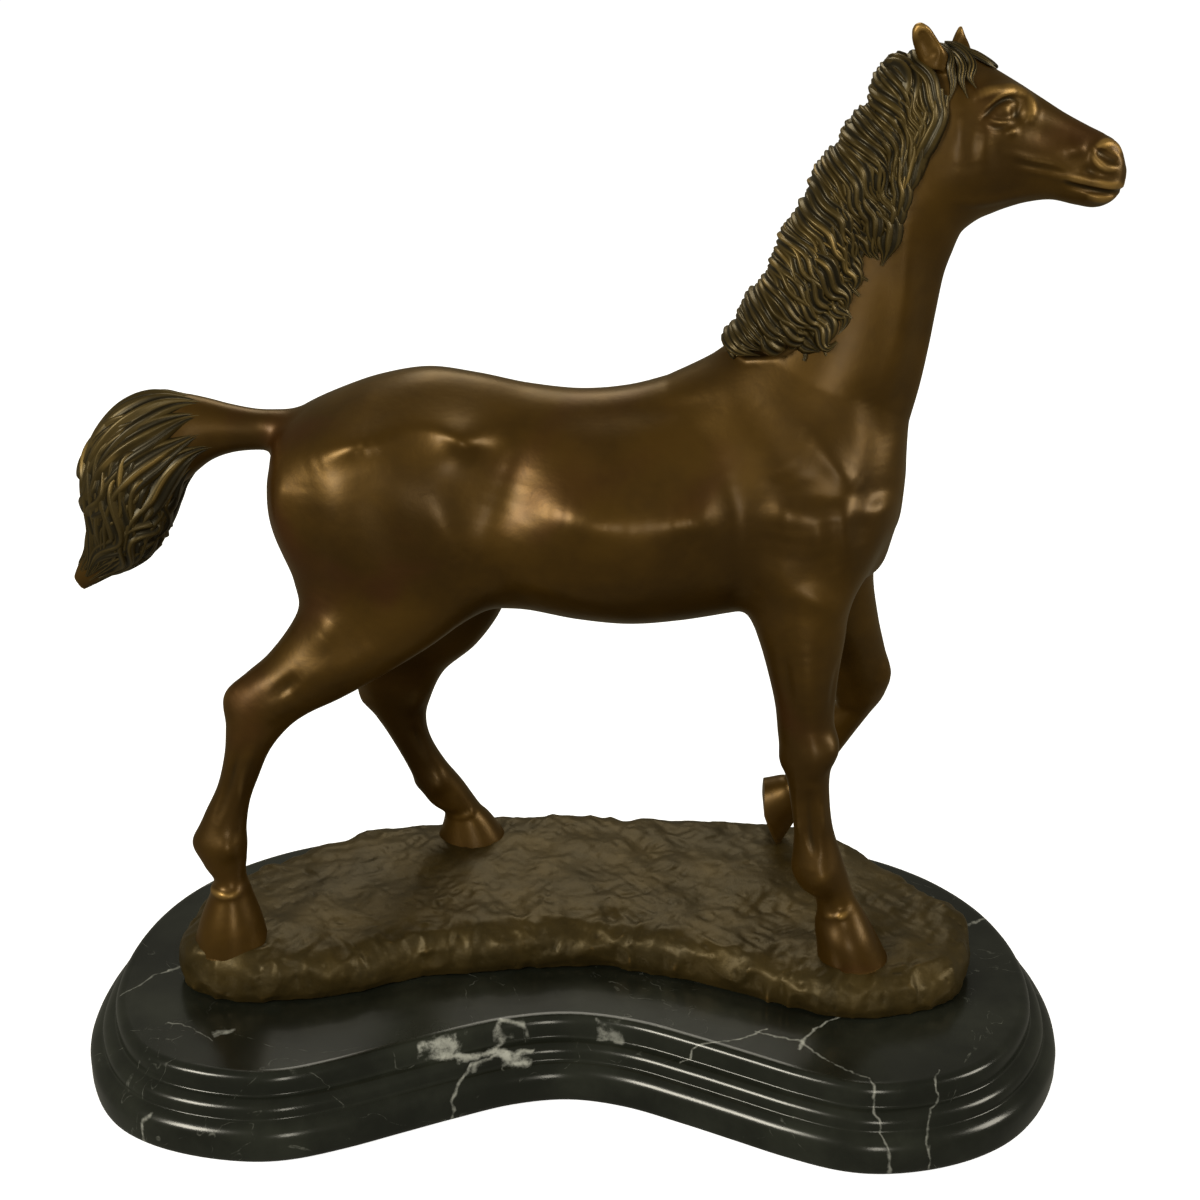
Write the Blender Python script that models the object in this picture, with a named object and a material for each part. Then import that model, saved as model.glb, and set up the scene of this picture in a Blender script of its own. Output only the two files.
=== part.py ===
"""Bronze statuette of a walking young horse on a stepped marble base.

The horse is cast hollow in sections that plug into each other, stands on a cast ground with its hooves
riveted through it, and the ground is bolted down through the marble. Lengths here are millimetres.
X runs towards the head, Y away from the near side, Z up. Heights are measured up from the underside of
the marble, which the felt pads lift clear of the table.
"""

import math

import bmesh
import bpy
import numpy as np
from mathutils import Matrix, Vector

MM = 0.001

# Clearances and pads
GAP = 0.3
PAD_THICK = 1.2
PAD_RADIUS = 8.0
LIFT = PAD_THICK + GAP

# Marble base: half outline from the middle of its front, round the right end, to the middle of its back
MARBLE_HALF = [
    (0, -53.6), (18, -56.8), (36, -64.6), (52, -72.4), (68, -80.2), (84, -86.2), (98, -87.6), (114, -84.8),
    (129, -78.4), (141, -69), (151, -55), (158, -38), (160.4, -20), (159.6, -2), (156, 15), (149.5, 31),
    (140, 45.5), (128, 58), (112, 69), (92, 77.5), (68, 83), (42, 86.2), (18, 87.4), (0, 87.6),
]
MARBLE_TOP = 26.0
# Each tier: (inset of its edge, height above the underside)
MARBLE_PROFILE = [
    (1.6, 0.0), (0.0, 1.6), (0.0, 8.6), (0.8, 11.2), (2.6, 12.6), (4.6, 13.0), (4.8, 16.2), (6.2, 18.0),
    (9.0, 18.7), (9.4, 23.6), (10.3, 25.4), (12.0, MARBLE_TOP),
]

# Cast ground: outline at its foot, and its thickness
GROUND_OUTLINE = [
    (132.7, -4), (131, -20), (125, -32), (113, -40.5), (100, -45), (87, -44), (71, -39), (55, -31.8),
    (37, -24.5), (16, -18.6), (-4, -17.8), (-28, -21), (-52, -26), (-68, -33.4), (-86, -39.2), (-108, -41.6),
    (-122, -38), (-130, -29), (-131, -14), (-127, 3), (-117, 15), (-107, 25), (-93, 35.5), (-73, 46),
    (-49, 52), (-21, 55.5), (5, 57.5), (34, 57), (66, 54.5), (84, 48.5), (95, 41.5), (104.5, 31),
    (115, 19.5), (126, 8),
]
GROUND_FOOT = MARBLE_TOP + GAP
GROUND_TOP = 41.0
GROUND_RISE = 0.068
MOUND = (-111.0, -26.0, 21.0, 4.5)
GROUND_WALL = 6.0
PLATE_THICK = 6.0

# Bolting: where the studs stand and the sizes of the M6 hardware
STUD_PLACES = {"left": (-88.0, 6.0), "middle": (4.0, 24.0), "right": (98.0, 4.0)}
STUD_RADIUS = 3.0
STUD_FOOT = 2.0
STUD_TOP = 34.0
BOSS_RADIUS = 8.0
COUNTERBORE_RADIUS = 11.0
COUNTERBORE_DEPTH = 10.0
WASHER_RADIUS = 9.0
WASHER_THICK = 1.6
NUT_ACROSS_FLATS = 10.0
NUT_HEIGHT = 5.0
PAD_PLACES = {
    "front_left": (-105.0, -62.0), "front_right": (105.0, -62.0), "back_left": (-108.0, 48.0),
    "back_right": (108.0, 48.0), "front_middle": (0.0, -34.0),
}

# Sections through the horse: (x, z) of one edge, (x, z) of the other edge, middle y, half width.
# The trunk's edges are its back and its belly, a limb's are its front and its rear.
MID = 6.0
TRUNK = [
    (-94, 201, -94, 184, MID, 7), (-91, 209, -91, 176, MID, 18), (-85, 214, -85, 168, MID, 26),
    (-74, 219.5, -74, 160, MID, 30), (-60, 225, -60, 154, MID, 32), (-45, 227.5, -45, 151, MID, 32),
    (-30, 226, -30, 150.5, MID, 30.5), (-14, 222.5, -14, 150.5, MID, 31), (2, 220.8, 2, 148, MID, 33),
    (18, 221.8, 18, 146.5, MID, 33.5), (34, 226.5, 34, 147.2, MID, 32), (50, 231, 50, 149, MID, 29),
    (65, 231, 65, 151, MID, 27), (80, 226, 79, 153, MID, 25), (92, 218, 90, 157, MID, 21),
    (99, 208, 98, 166, MID, 15), (102.5, 198, 102, 178, MID, 8),
]
NECK = [
    (98, 184, 26, 208, MID, 20), (101.5, 200, 36, 224, MID, 20), (103, 212, 47, 233, MID, 18),
    (105.5, 224, 57, 243, MID, 15.5), (107.5, 236, 63, 255, MID, 13.5), (109, 248, 69, 267, MID, 12.5),
    (110.5, 259, 76, 281, MID, 11.5), (113, 267.5, 83, 293, MID, 11), (115.5, 275, 90, 305, MID, 10.5),
    (114, 283, 95.5, 316, MID, 9),
]
HEAD = [
    (97, 319, 98, 296, MID, 7), (101.5, 325, 101, 284, MID, 10.5), (108, 327, 107, 277, MID, 12),
    (115, 324, 114.5, 274, MID, 12.8), (122, 319.5, 121, 276, MID, 12.5), (129, 315, 127.5, 278.5, MID, 10.8),
    (136, 310.5, 134, 280, MID, 9), (143, 306.5, 141, 280.5, MID, 8), (150, 302.5, 148, 279.3, MID, 7.5),
    (156, 299.3, 153.5, 278.6, MID, 7.5), (160.4, 295, 157.6, 279.8, MID, 6.3), (162.3, 290, 160.8, 283, MID, 3.5),
]
TAIL = [
    (-84, 201, -84, 212.5, MID, 5), (-92, 202.5, -92, 213.5, MID, 5.5), (-99, 202, -99.5, 214.2, MID, 6),
    (-107, 201, -107.5, 216, MID, 7), (-114, 198.5, -115, 218.5, MID, 8), (-120.5, 193, -122.5, 220.2, MID, 9.5),
    (-126, 187, -131, 219.5, MID, 10.5), (-128.5, 183, -141.5, 214.6, 5.5, 11.5),
    (-129.5, 179, -149.3, 206, 5, 12), (-131.5, 174.5, -153.4, 196, 4.5, 11.5), (-135, 169.5, -154.6, 186.5, 4, 10.5),
    (-140, 165, -154, 177, 4, 9), (-147, 160.5, -156.5, 168.5, 4, 6.5), (-155, 155.5, -160, 161, 4, 3.5),
]
NEAR_HIND = [
    (-24, 184, -90, 194, -8, 14), (-23, 168, -91, 182, -9, 17), (-29, 157, -86.5, 164, -10, 16),
    (-40.5, 147, -85, 156, -12.5, 14), (-55.5, 137.5, -88.5, 149, -15.5, 12), (-71.5, 128.5, -95.5, 140.5, -18, 10),
    (-83, 123, -102.5, 134.5, -19.5, 8.8), (-90, 118, -108, 127.5, -20.5, 8), (-96.5, 110, -109, 118.5, -21.5, 7.2),
    (-101, 100, -110, 109, -22.5, 6), (-104, 92, -113, 97.5, -23, 5.3), (-105.5, 83.5, -118, 87, -24, 5.6),
    (-105.5, 77.5, -121.5, 78, -25, 6.5), (-106, 72, -119, 70.5, -25.5, 6), (-106.5, 66.5, -116, 65.5, -26, 5.4),
    (-105, 60.5, -117, 61, -26.5, 6.8), (-102, 51, -121, 51, -27.5, 9), (-100, 40, -124, 40, -28, 10.5),
]
OFF_HIND = [
    (-24, 184, -88, 190, 20, 14), (-23, 168, -86, 174, 21, 17), (-23.5, 156, -82, 158, 22, 15.5),
    (-25, 142, -80, 143, 24.5, 13.5), (-34, 127, -79, 129, 27.5, 11.5), (-46, 115, -78, 118, 30.5, 9.5),
    (-52, 102, -75, 107, 32.5, 8.2), (-53.5, 94, -72, 100, 33.5, 7.2), (-52, 85.5, -66.5, 90, 34.5, 5.8),
    (-47.5, 76, -61, 78, 36, 5.3), (-42, 67.5, -57, 68, 37.5, 6.2), (-38, 60.5, -53, 60.5, 38.5, 6.2),
    (-35.5, 56.5, -48, 56, 39, 5.4), (-32.5, 53, -48, 51.5, 39.5, 7), (-28, 46, -50, 45, 40, 9),
    (-26, 39.5, -51, 39.5, 40, 10),
]
NEAR_FORE = [
    (95, 190, 48, 190, -8, 14), (92, 174, 51, 172, -10, 14.5), (86, 159, 56.5, 155, -13.5, 13.5),
    (84, 146, 60.5, 143.5, -16, 11), (82.5, 134, 64.5, 128, -18, 9), (82, 122, 66, 116.5, -19.5, 7.6),
    (83.5, 114, 67.5, 108, -20.5, 7.8), (81.5, 105, 69.5, 100.5, -21, 6.9), (81.5, 96.5, 70.5, 95, -22, 5.4),
    (83, 85.5, 72, 84, -23, 5.1), (86.5, 74.5, 72, 73.5, -24, 6.2), (88.5, 68.5, 74, 66, -24.5, 6.2),
    (90, 63.5, 79, 62, -25, 5.3), (91.5, 60, 80.5, 57, -25.5, 5.2), (94, 56, 80.5, 53, -26, 6.8),
    (98, 49, 80.5, 48, -27, 8.8), (102.5, 39, 81, 39, -27.5, 10),
]
OFF_FORE = [
    (95, 188, 58, 188, 20, 13), (94.5, 172, 63, 170, 20, 13.5), (96, 155, 72, 152, 21, 12),
    (99.5, 139, 78, 136, 23, 10), (103, 127, 83, 123, 26, 8.4), (105.5, 117, 87, 113, 28.5, 7.8),
    (104.5, 108.5, 88.5, 106, 30.5, 7.2), (99.5, 100.5, 88.5, 102.5, 32, 5.8), (93, 90, 83, 96, 33.5, 5),
    (87, 79, 77.5, 86.5, 35, 5.2), (84.5, 70.5, 75, 78.5, 36.5, 6), (80, 62.5, 73.5, 71.5, 37.5, 5.3),
    (76.5, 55.5, 71, 69.5, 38.5, 7), (71.5, 44.5, 64.5, 67, 40, 9),
]
MANE = [
    (100, 316, 93, 322, 1, 6), (96, 300, 85, 310, -2, 8), (92, 286, 76.5, 296, -3, 8.5),
    (88, 272, 68.5, 282, -4, 9), (84, 258, 62.5, 268, -5, 10), (78, 246, 56.5, 255, -6, 11),
    (70, 238, 47, 243, -6, 11), (58, 233, 42, 236, -4, 8),
]
FORELOCK = [(101, 322, 97, 326, MID, 4), (106, 321, 108, 329, MID, 6), (114, 318, 118, 325, MID, 5)]
NEAR_EAR = [
    (107, 319, 99.5, 320, -0.5, 3.6), (107, 324, 97.5, 326, -1, 3.4), (102.5, 328.5, 96.2, 330, -1.6, 2.4),
    (100, 331.6, 97.6, 332, -2, 0.9),
]
FAR_EAR = [
    (116, 317, 108, 319, 12.6, 3.4), (115.8, 322.5, 109.4, 324, 13.4, 3), (114, 326.5, 110.8, 327.2, 14, 1.8),
    (113, 329.4, 111.8, 329.6, 14.4, 0.7),
]
# Muscles and bones that stand out of those forms: middle (x, y, z), radii (x, y, z)
BULGES = [
    ((-58, MID - 21, 190), (27, 12, 27)), ((-58, MID + 21, 190), (27, 12, 27)),
    ((78, MID - 17, 185), (19, 12, 27)), ((78, MID + 17, 185), (19, 12, 27)),
    ((94, MID - 8, 184), (10, 9, 17)), ((94, MID + 8, 184), (10, 9, 17)),
    ((-38, MID - 20, 208), (15, 9, 12)), ((-38, MID + 20, 208), (15, 9, 12)),
    ((114, MID - 7.5, 291), (10, 6, 13)), ((114, MID + 7.5, 291), (10, 6, 13)),
]

# The hollow core of the trunk and the neck, which leaves walls of about this thickness
CORE_WALL = 5.0
CORE_NECK = [
    (84, 190, 46, 210, MID, 11), (93, 204, 55, 224, MID, 10.5), (98.5, 219, 64, 236, MID, 8.5),
    (101.5, 234, 71, 250, MID, 6.5), (104, 248, 77, 263, MID, 5),
]

# Where the castings plug into the trunk: a point of each joint face, the way the casting leaves the trunk,
# and the half sizes of its plug
NECK_JOINT = ((72.0, MID, 219.6), (0.43, 0.0, 0.903))
PLUG_LENGTH = 7.0
TAIL_JOINT_X = -95.5
NEAR_HIND_JOINT = ((-58.0, MID, 160.0), (-0.297, 0.0, -0.955))
OFF_HIND_JOINT = ((-58.0, MID, 160.6), (-0.31, 0.0, -0.951))
FORE_JOINT_Z = 153.0

# Hoof rivets: (x, y), radius, foot and head heights
RIVETS = {
    "near_hind_leg_casting": (-112.0, -28.0), "off_hind_leg_casting": (-39.0, 40.0),
    "near_fore_leg_casting": (92.0, -27.5), "off_fore_leg_casting": (71.0, 41.0),
}
RIVET_RADIUS = 2.6
RIVET_FOOT = 32.5
RIVET_HEAD = 50.0
SEAT_DEPTH = 1.0


def clear_scene():
    for old in list(bpy.data.objects):
        bpy.data.objects.remove(old, do_unlink=True)


def make_material(name, colour, roughness, metallic):
    made = bpy.data.materials.new(name)
    made.use_nodes = True
    shader = made.node_tree.nodes["Principled BSDF"]
    shader.inputs["Base Color"].default_value = (*colour, 1.0)
    shader.inputs["Roughness"].default_value = roughness
    shader.inputs["Metallic"].default_value = metallic
    return made


def place(x, y, z):
    """A point of the model in metres, raised by the pads."""
    return Vector((x * MM, y * MM, (z + LIFT) * MM))


def add_object(name, bm, material=None, helper=False):
    bmesh.ops.recalc_face_normals(bm, faces=bm.faces)
    mesh = bpy.data.meshes.new(name)
    bm.to_mesh(mesh)
    bm.free()
    made = bpy.data.objects.new(name, mesh)
    bpy.context.scene.collection.objects.link(made)
    if material:
        mesh.materials.append(material)
    if helper:
        made.hide_render = True
        made.display_type = "WIRE"
    return made


def smooth_path(rows, steps):
    """The rows, each a tuple of numbers, with steps - 1 more between each two on a smooth curve."""
    rows = np.array(rows, float)
    ends = np.vstack([2 * rows[0] - rows[1], rows, 2 * rows[-1] - rows[-2]])
    made = []
    for a, b, c, d in zip(ends, ends[1:], ends[2:], ends[3:]):
        for t in np.arange(steps) / steps:
            slope_b = (c - a) / 2
            slope_c = (d - b) / 2
            rise = 3 * (c - b) - 2 * slope_b - slope_c
            made.append(b + slope_b * t + rise * t**2 + (slope_b + slope_c - 2 * (c - b)) * t**3)
    made.append(rows[-1])
    return made


def loft(bm, sections, around=20, steps=3, grow=0.0):
    """Adds a closed body through the sections. grow pushes its skin outwards."""
    rings = []
    for x1, z1, x2, z2, y, half_width in smooth_path(sections, steps):
        middle = Vector(((x1 + x2) / 2, y, (z1 + z2) / 2))
        long_axis = Vector(((x1 - x2) / 2, 0, (z1 - z2) / 2))
        long_axis *= (long_axis.length + grow) / long_axis.length
        wide_axis = Vector((0, max(half_width + grow, 0.3), 0))
        ring = []
        for step in range(around):
            angle = math.tau * step / around
            point = middle + long_axis * math.cos(angle) + wide_axis * math.sin(angle)
            ring.append(bm.verts.new(place(*point)))
        rings.append(ring)
    for ring, after in zip(rings, rings[1:]):
        for step in range(around):
            turn = (step + 1) % around
            bm.faces.new((ring[step], ring[turn], after[turn], after[step]))
    bm.faces.new(rings[0][::-1])
    bm.faces.new(rings[-1])


def add_ellipsoid(bm, middle, radii):
    matrix = Matrix.Translation(place(*middle)) @ Matrix.Diagonal(Vector([r * MM for r in radii] + [1.0]))
    bmesh.ops.create_icosphere(bm, subdivisions=3, radius=1.0, matrix=matrix)


def add_cylinder(bm, x, y, foot, head, radius, segments=24):
    """Adds an upright cylinder between two heights."""
    matrix = Matrix.Translation(place(x, y, (foot + head) / 2))
    bmesh.ops.create_cone(
        bm, cap_ends=True, segments=segments, radius1=radius * MM, radius2=radius * MM,
        depth=(head - foot) * MM, matrix=matrix,
    )


def add_block(bm, low, high):
    """Adds a box between two corners."""
    size = [(b - a) * MM for a, b in zip(low, high)]
    middle = place(*[(a + b) / 2 for a, b in zip(low, high)])
    matrix = Matrix.Translation(middle) @ Matrix.Diagonal(Vector(size + [1.0]))
    bmesh.ops.create_cube(bm, size=1.0, matrix=matrix)


def add_modifier(obj, kind, **values):
    made = obj.modifiers.new(kind.title(), kind)
    for key, value in values.items():
        setattr(made, key, value)
    return made


def boolean(obj, operation, other):
    add_modifier(obj, "BOOLEAN", operation=operation, object=other, solver="EXACT")


def freeze(obj):
    """Makes an object's modifiers part of its mesh."""
    graph = bpy.context.evaluated_depsgraph_get()
    mesh = bpy.data.meshes.new_from_object(obj.evaluated_get(graph))
    obj.modifiers.clear()
    obj.data = mesh
    return obj


def horse_form():
    """The whole horse as one skin, from which the castings are cut."""
    bm = bmesh.new()
    for sections in (TRUNK, NECK, HEAD, TAIL, NEAR_HIND, OFF_HIND, NEAR_FORE, OFF_FORE, MANE, FORELOCK):
        loft(bm, sections)
    for sections in (NEAR_EAR, FAR_EAR):
        loft(bm, sections, around=12)
    for middle, radii in BULGES:
        add_ellipsoid(bm, middle, radii)
    form = add_object("horse_form", bm, helper=True)
    add_modifier(form, "REMESH", mode="VOXEL", voxel_size=1.5 * MM)
    add_modifier(form, "SMOOTH", factor=0.5, iterations=4)
    add_modifier(form, "DECIMATE", ratio=0.055)
    return freeze(form)


def core_form():
    """The hollow inside the trunk and the neck, kept off the skin by the wall."""
    bm = bmesh.new()
    inside = []
    for x1, z1, x2, z2, y, half_width in TRUNK[2:-3]:
        inside.append((x1, z1 - CORE_WALL, x2, z2 + CORE_WALL, y, half_width - CORE_WALL))
    loft(bm, inside, around=16, steps=1)
    core = add_object("trunk_core", bm, helper=True)
    bm = bmesh.new()
    loft(bm, CORE_NECK, around=16, steps=1)
    neck_core = add_object("neck_core", bm, helper=True)
    boolean(core, "UNION", neck_core)
    return freeze(core)


def slanted_block(name, joint, plug, grow):
    """A big block on the far side of a slanted joint face, with a plug on the near side of it."""
    point, away = joint
    away = Vector(away).normalized()
    across = Vector((0, 1, 0))
    along = across.cross(away)
    turn = Matrix((along, across, away)).transposed().to_4x4()
    bm = bmesh.new()
    reach = 260.0
    add_local_box(bm, (-reach, -90, -grow), (reach, 90, reach), Vector(point), turn)
    block = add_object(name, bm, helper=True)
    if plug:
        bm = bmesh.new()
        half_along, half_across = plug
        shape = Matrix.Diagonal((half_along + grow, half_across + grow, PLUG_LENGTH + grow + 2, 1))
        shape = Matrix.Translation(Vector((0, 0, (2 - PLUG_LENGTH - grow) / 2))) @ shape
        matrix = Matrix.Translation(place(*point)) @ Matrix.Scale(MM, 4) @ turn @ shape
        bmesh.ops.create_cone(
            bm, cap_ends=True, segments=28, radius1=1.0, radius2=1.0, depth=1.0, matrix=matrix
        )
        boolean(block, "UNION", add_object(name + "_plug", bm, helper=True))
    return freeze(block)


def add_local_box(bm, low, high, point, turn):
    """Adds a box given in the axes of a turned joint face."""
    size = [b - a for a, b in zip(low, high)]
    middle = [(a + b) / 2 for a, b in zip(low, high)]
    shape = Matrix.Translation(Vector(middle)) @ Matrix.Diagonal(Vector(size + [1.0]))
    matrix = Matrix.Translation(place(*point)) @ Matrix.Scale(MM, 4) @ turn @ shape
    bmesh.ops.create_cube(bm, size=1.0, matrix=matrix)


def straight_zone(name, low, high, plug_low, plug_high, grow):
    """A box that holds one casting, with a square plug that reaches into the trunk."""
    bm = bmesh.new()
    add_block(bm, [v - grow for v in low], [v + grow for v in high])
    block = add_object(name, bm, helper=True)
    bm = bmesh.new()
    add_block(bm, [v - grow for v in plug_low], [v + grow for v in plug_high])
    boolean(block, "UNION", add_object(name + "_plug", bm, helper=True))
    return freeze(block)


def hind_zone(name, side, grow):
    """The room of one hind leg: below the slanted joint face, on its own side of the middle plane."""
    block = slanted_block(name, NEAR_HIND_JOINT if side < 0 else OFF_HIND_JOINT, None, grow)
    bm = bmesh.new()
    if side < 0:
        low, high = (-126, -60, 20), (-26, MID - GAP / 2, 172)
    else:
        low, high = (-125, MID + GAP / 2, 21), (-24.5, 80, 171)
    add_block(bm, [v - grow for v in low], [v + grow for v in high])
    boolean(block, "INTERSECT", add_object(name + "_side", bm, helper=True))
    bm = bmesh.new()
    y = MID + side * 15.0
    size = 6.5 + grow
    add_block(bm, (-58 - size, y - size, 150), (-58 + size, y + size, 160 + PLUG_LENGTH + grow))
    boolean(block, "UNION", add_object(name + "_plug", bm, helper=True))
    return freeze(block)


def fore_zone(name, side, grow):
    """The room of one foreleg: below a level joint face at the elbow."""
    near, far = (-60.0, -2.0) if side < 0 else (14.0, 80.0)
    y = -12.0 if side < 0 else 21.0
    x = 74.0 if side < 0 else 82.0
    rear = 54.0 if side < 0 else 65.0
    return straight_zone(
        name, (rear, near, 25.0), (118.0, far, FORE_JOINT_Z),
        (x - 6, y - 5, 145), (x + 6, y + 5, FORE_JOINT_Z + PLUG_LENGTH), grow,
    )


def tail_zone(name, grow):
    return straight_zone(
        name, (-175.0, -30.0, 150.0), (TAIL_JOINT_X, 40.0, 235.0),
        (TAIL_JOINT_X - 4, MID - 3, 204.5), (TAIL_JOINT_X + PLUG_LENGTH, MID + 3, 210.5), grow,
    )


def zone(name, grow):
    if name == "neck_and_head_casting":
        return slanted_block(f"zone_{name}_{grow}", NECK_JOINT, (24.5, 13.0), grow)
    if name == "tail_casting":
        return tail_zone(f"zone_{name}_{grow}", grow)
    side = -1 if name.startswith("near") else 1
    if "hind" in name:
        return hind_zone(f"zone_{name}_{grow}", side, grow)
    return fore_zone(f"zone_{name}_{grow}", side, grow)


def casting(name, form, cutters, material):
    """One section of the horse: the form inside its own zone."""
    made = bpy.data.objects.new(name, form.data.copy())
    bpy.context.scene.collection.objects.link(made)
    made.data.materials.append(material)
    for operation, cutter in cutters:
        boolean(made, operation, cutter)
    return made


def rivet(name, x, y, grow=0.0):
    """The shank under a hoof, which passes through the ground plate."""
    bm = bmesh.new()
    head = RIVET_HEAD if grow == 0 else RIVET_HEAD - 2
    add_cylinder(bm, x, y, RIVET_FOOT - grow, head, RIVET_RADIUS + grow, segments=16)
    return add_object(name, bm, helper=True)


def build_horse(bronze):
    form = horse_form()
    core = core_form()
    trunk_cutters = []
    names = ["neck_and_head_casting", "tail_casting"] + list(RIVETS)
    for name in names:
        cutters = [("INTERSECT", zone(name, 0.0))]
        if name == "neck_and_head_casting":
            cutters.append(("DIFFERENCE", core))
        if name in RIVETS:
            cutters.append(("UNION", rivet(f"rivet_of_{name}", *RIVETS[name])))
        casting(name, form, cutters, bronze)
        trunk_cutters.append(("DIFFERENCE", zone(name, GAP)))
    trunk_cutters.append(("DIFFERENCE", core))
    casting("torso_casting", form, trunk_cutters, bronze)


def outline_points(corners, steps):
    """A closed outline as a smooth curve through its corners."""
    count = len(corners)
    wrapped = [corners[-2], corners[-1]] + list(corners) + [corners[0], corners[1]]
    path = smooth_path(wrapped, steps)
    return [Vector((p[0], p[1])) for p in path[2 * steps:(2 + count) * steps]]


def inset(points, distance):
    """The outline moved inwards by a distance along its own normals. It runs clockwise seen from above."""
    made = []
    for index, point in enumerate(points):
        tangent = (points[(index + 1) % len(points)] - points[index - 1]).normalized()
        made.append(point + Vector((tangent.y, -tangent.x)) * distance)
    return made


def skin_rings(bm, rings):
    """Joins closed rings of points, given from the bottom up, into one closed body."""
    made = [[bm.verts.new(place(*point)) for point in ring] for ring in rings]
    count = len(made[0])
    for ring, after in zip(made, made[1:]):
        for step in range(count):
            turn = (step + 1) % count
            bm.faces.new((ring[step], ring[turn], after[turn], after[step]))
    bm.faces.new(made[0][::-1])
    bm.faces.new(made[-1])


def ground_height(x, y):
    """Height of the cast ground's face: a gentle rise towards the back, and a mound under one hoof."""
    mound_x, mound_y, mound_radius, mound_height = MOUND
    away = math.hypot(x - mound_x, y - mound_y) / mound_radius
    return GROUND_TOP + GROUND_RISE * (y + 30.0) + mound_height * math.exp(-away * away)


def build_ground(bronze, seats):
    corners = outline_points(GROUND_OUTLINE, 1)
    centre = Vector((2.0, 14.0))
    bm = bmesh.new()
    rings = [[(p.x, p.y, GROUND_FOOT) for p in inset(corners, 1.2)]]
    for distance, share in ((0.0, 0.12), (-0.3, 0.4), (0.9, 0.7), (3.2, 0.9), (7.0, 0.98), (12.0, 1.0)):
        ring = []
        for p in inset(corners, distance):
            top = ground_height(p.x, p.y)
            ring.append((p.x, p.y, GROUND_FOOT + share * (top - GROUND_FOOT)))
        rings.append(ring)
    for shrink in (0.78, 0.55, 0.3, 0.08):
        ring = []
        for p in inset(corners, 12.0):
            q = centre + (p - centre) * shrink
            ring.append((q.x, q.y, ground_height(q.x, q.y)))
        rings.append(ring)
    skin_rings(bm, rings)
    ground = add_object("ground_casting", bm, bronze)

    bm = bmesh.new()
    inner = inset(corners, GROUND_WALL)
    low = [(p.x, p.y, GROUND_FOOT - 3.0) for p in inner]
    high = [(p.x, p.y, GROUND_TOP - PLATE_THICK) for p in inner]
    skin_rings(bm, [low, high])
    hollow = add_object("ground_hollow", bm, helper=True)
    boolean(ground, "DIFFERENCE", hollow)

    bm = bmesh.new()
    for x, y in STUD_PLACES.values():
        add_cylinder(bm, x, y, GROUND_FOOT, GROUND_TOP - 2.0, BOSS_RADIUS)
    boolean(ground, "UNION", add_object("ground_bosses", bm, helper=True))
    bm = bmesh.new()
    for x, y in STUD_PLACES.values():
        add_cylinder(bm, x, y, GROUND_FOOT - 3.0, STUD_TOP + GAP, STUD_RADIUS + GAP)
    boolean(ground, "DIFFERENCE", add_object("ground_stud_holes", bm, helper=True))
    for seat in seats:
        boolean(ground, "DIFFERENCE", seat)


def hoof_seats():
    """Cutters for the hollows in the ground that hold the hooves and their rivets."""
    seats = []
    for name, sections in (
        ("near_hind_leg_casting", NEAR_HIND), ("off_hind_leg_casting", OFF_HIND),
        ("near_fore_leg_casting", NEAR_FORE), ("off_fore_leg_casting", OFF_FORE),
    ):
        before, last = np.array(sections[-2]), np.array(sections[-1])
        below = last + (last - before) * SEAT_DEPTH / 10.0
        bm = bmesh.new()
        loft(bm, sections[-5:] + [tuple(below)], around=24, steps=3, grow=0.7)
        seats.append(add_object(f"seat_of_{name}", bm, helper=True))
        seats.append(rivet(f"rivet_hole_of_{name}", *RIVETS[name], grow=GAP + 0.2))
    return seats


def build_marble(stone):
    half = [Vector(p) for p in MARBLE_HALF]
    corners = half + [Vector((-p.x, p.y)) for p in half[-2:0:-1]]
    corners = [Vector(p) for p in corners[::-1]]
    points = outline_points([tuple(p) for p in corners], 1)
    bm = bmesh.new()
    skin_rings(bm, [[(p.x, p.y, z) for p in inset(points, d)] for d, z in MARBLE_PROFILE])
    marble = add_object("marble_base", bm, stone)
    bm = bmesh.new()
    for x, y in STUD_PLACES.values():
        add_cylinder(bm, x, y, COUNTERBORE_DEPTH - 1.0, MARBLE_TOP + 4.0, STUD_RADIUS + 0.6)
    boolean(marble, "DIFFERENCE", add_object("marble_stud_holes", bm, helper=True))
    bm = bmesh.new()
    for x, y in STUD_PLACES.values():
        add_cylinder(bm, x, y, -4.0, COUNTERBORE_DEPTH, COUNTERBORE_RADIUS, segments=32)
    boolean(marble, "DIFFERENCE", add_object("marble_counterbores", bm, helper=True))


def build_hardware(steel):
    """Studs, washers and nuts, one of each at every boss."""
    washer_top = COUNTERBORE_DEPTH - GAP
    nut_top = washer_top - WASHER_THICK - GAP
    for side, (x, y) in STUD_PLACES.items():
        bm = bmesh.new()
        add_cylinder(bm, x, y, STUD_FOOT, STUD_TOP, STUD_RADIUS, segments=16)
        stud = add_object(f"{side}_base_stud", bm, steel)
        add_modifier(stud, "BEVEL", width=0.5 * MM, segments=1, angle_limit=math.radians(60))
        bm = bmesh.new()
        add_ring(bm, x, y, washer_top - WASHER_THICK, washer_top, WASHER_RADIUS, 24)
        add_object(f"{side}_base_washer", bm, steel)
        bm = bmesh.new()
        add_ring(bm, x, y, nut_top - NUT_HEIGHT, nut_top, NUT_ACROSS_FLATS / math.sqrt(3), 6)
        add_object(f"{side}_base_nut", bm, steel)


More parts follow.
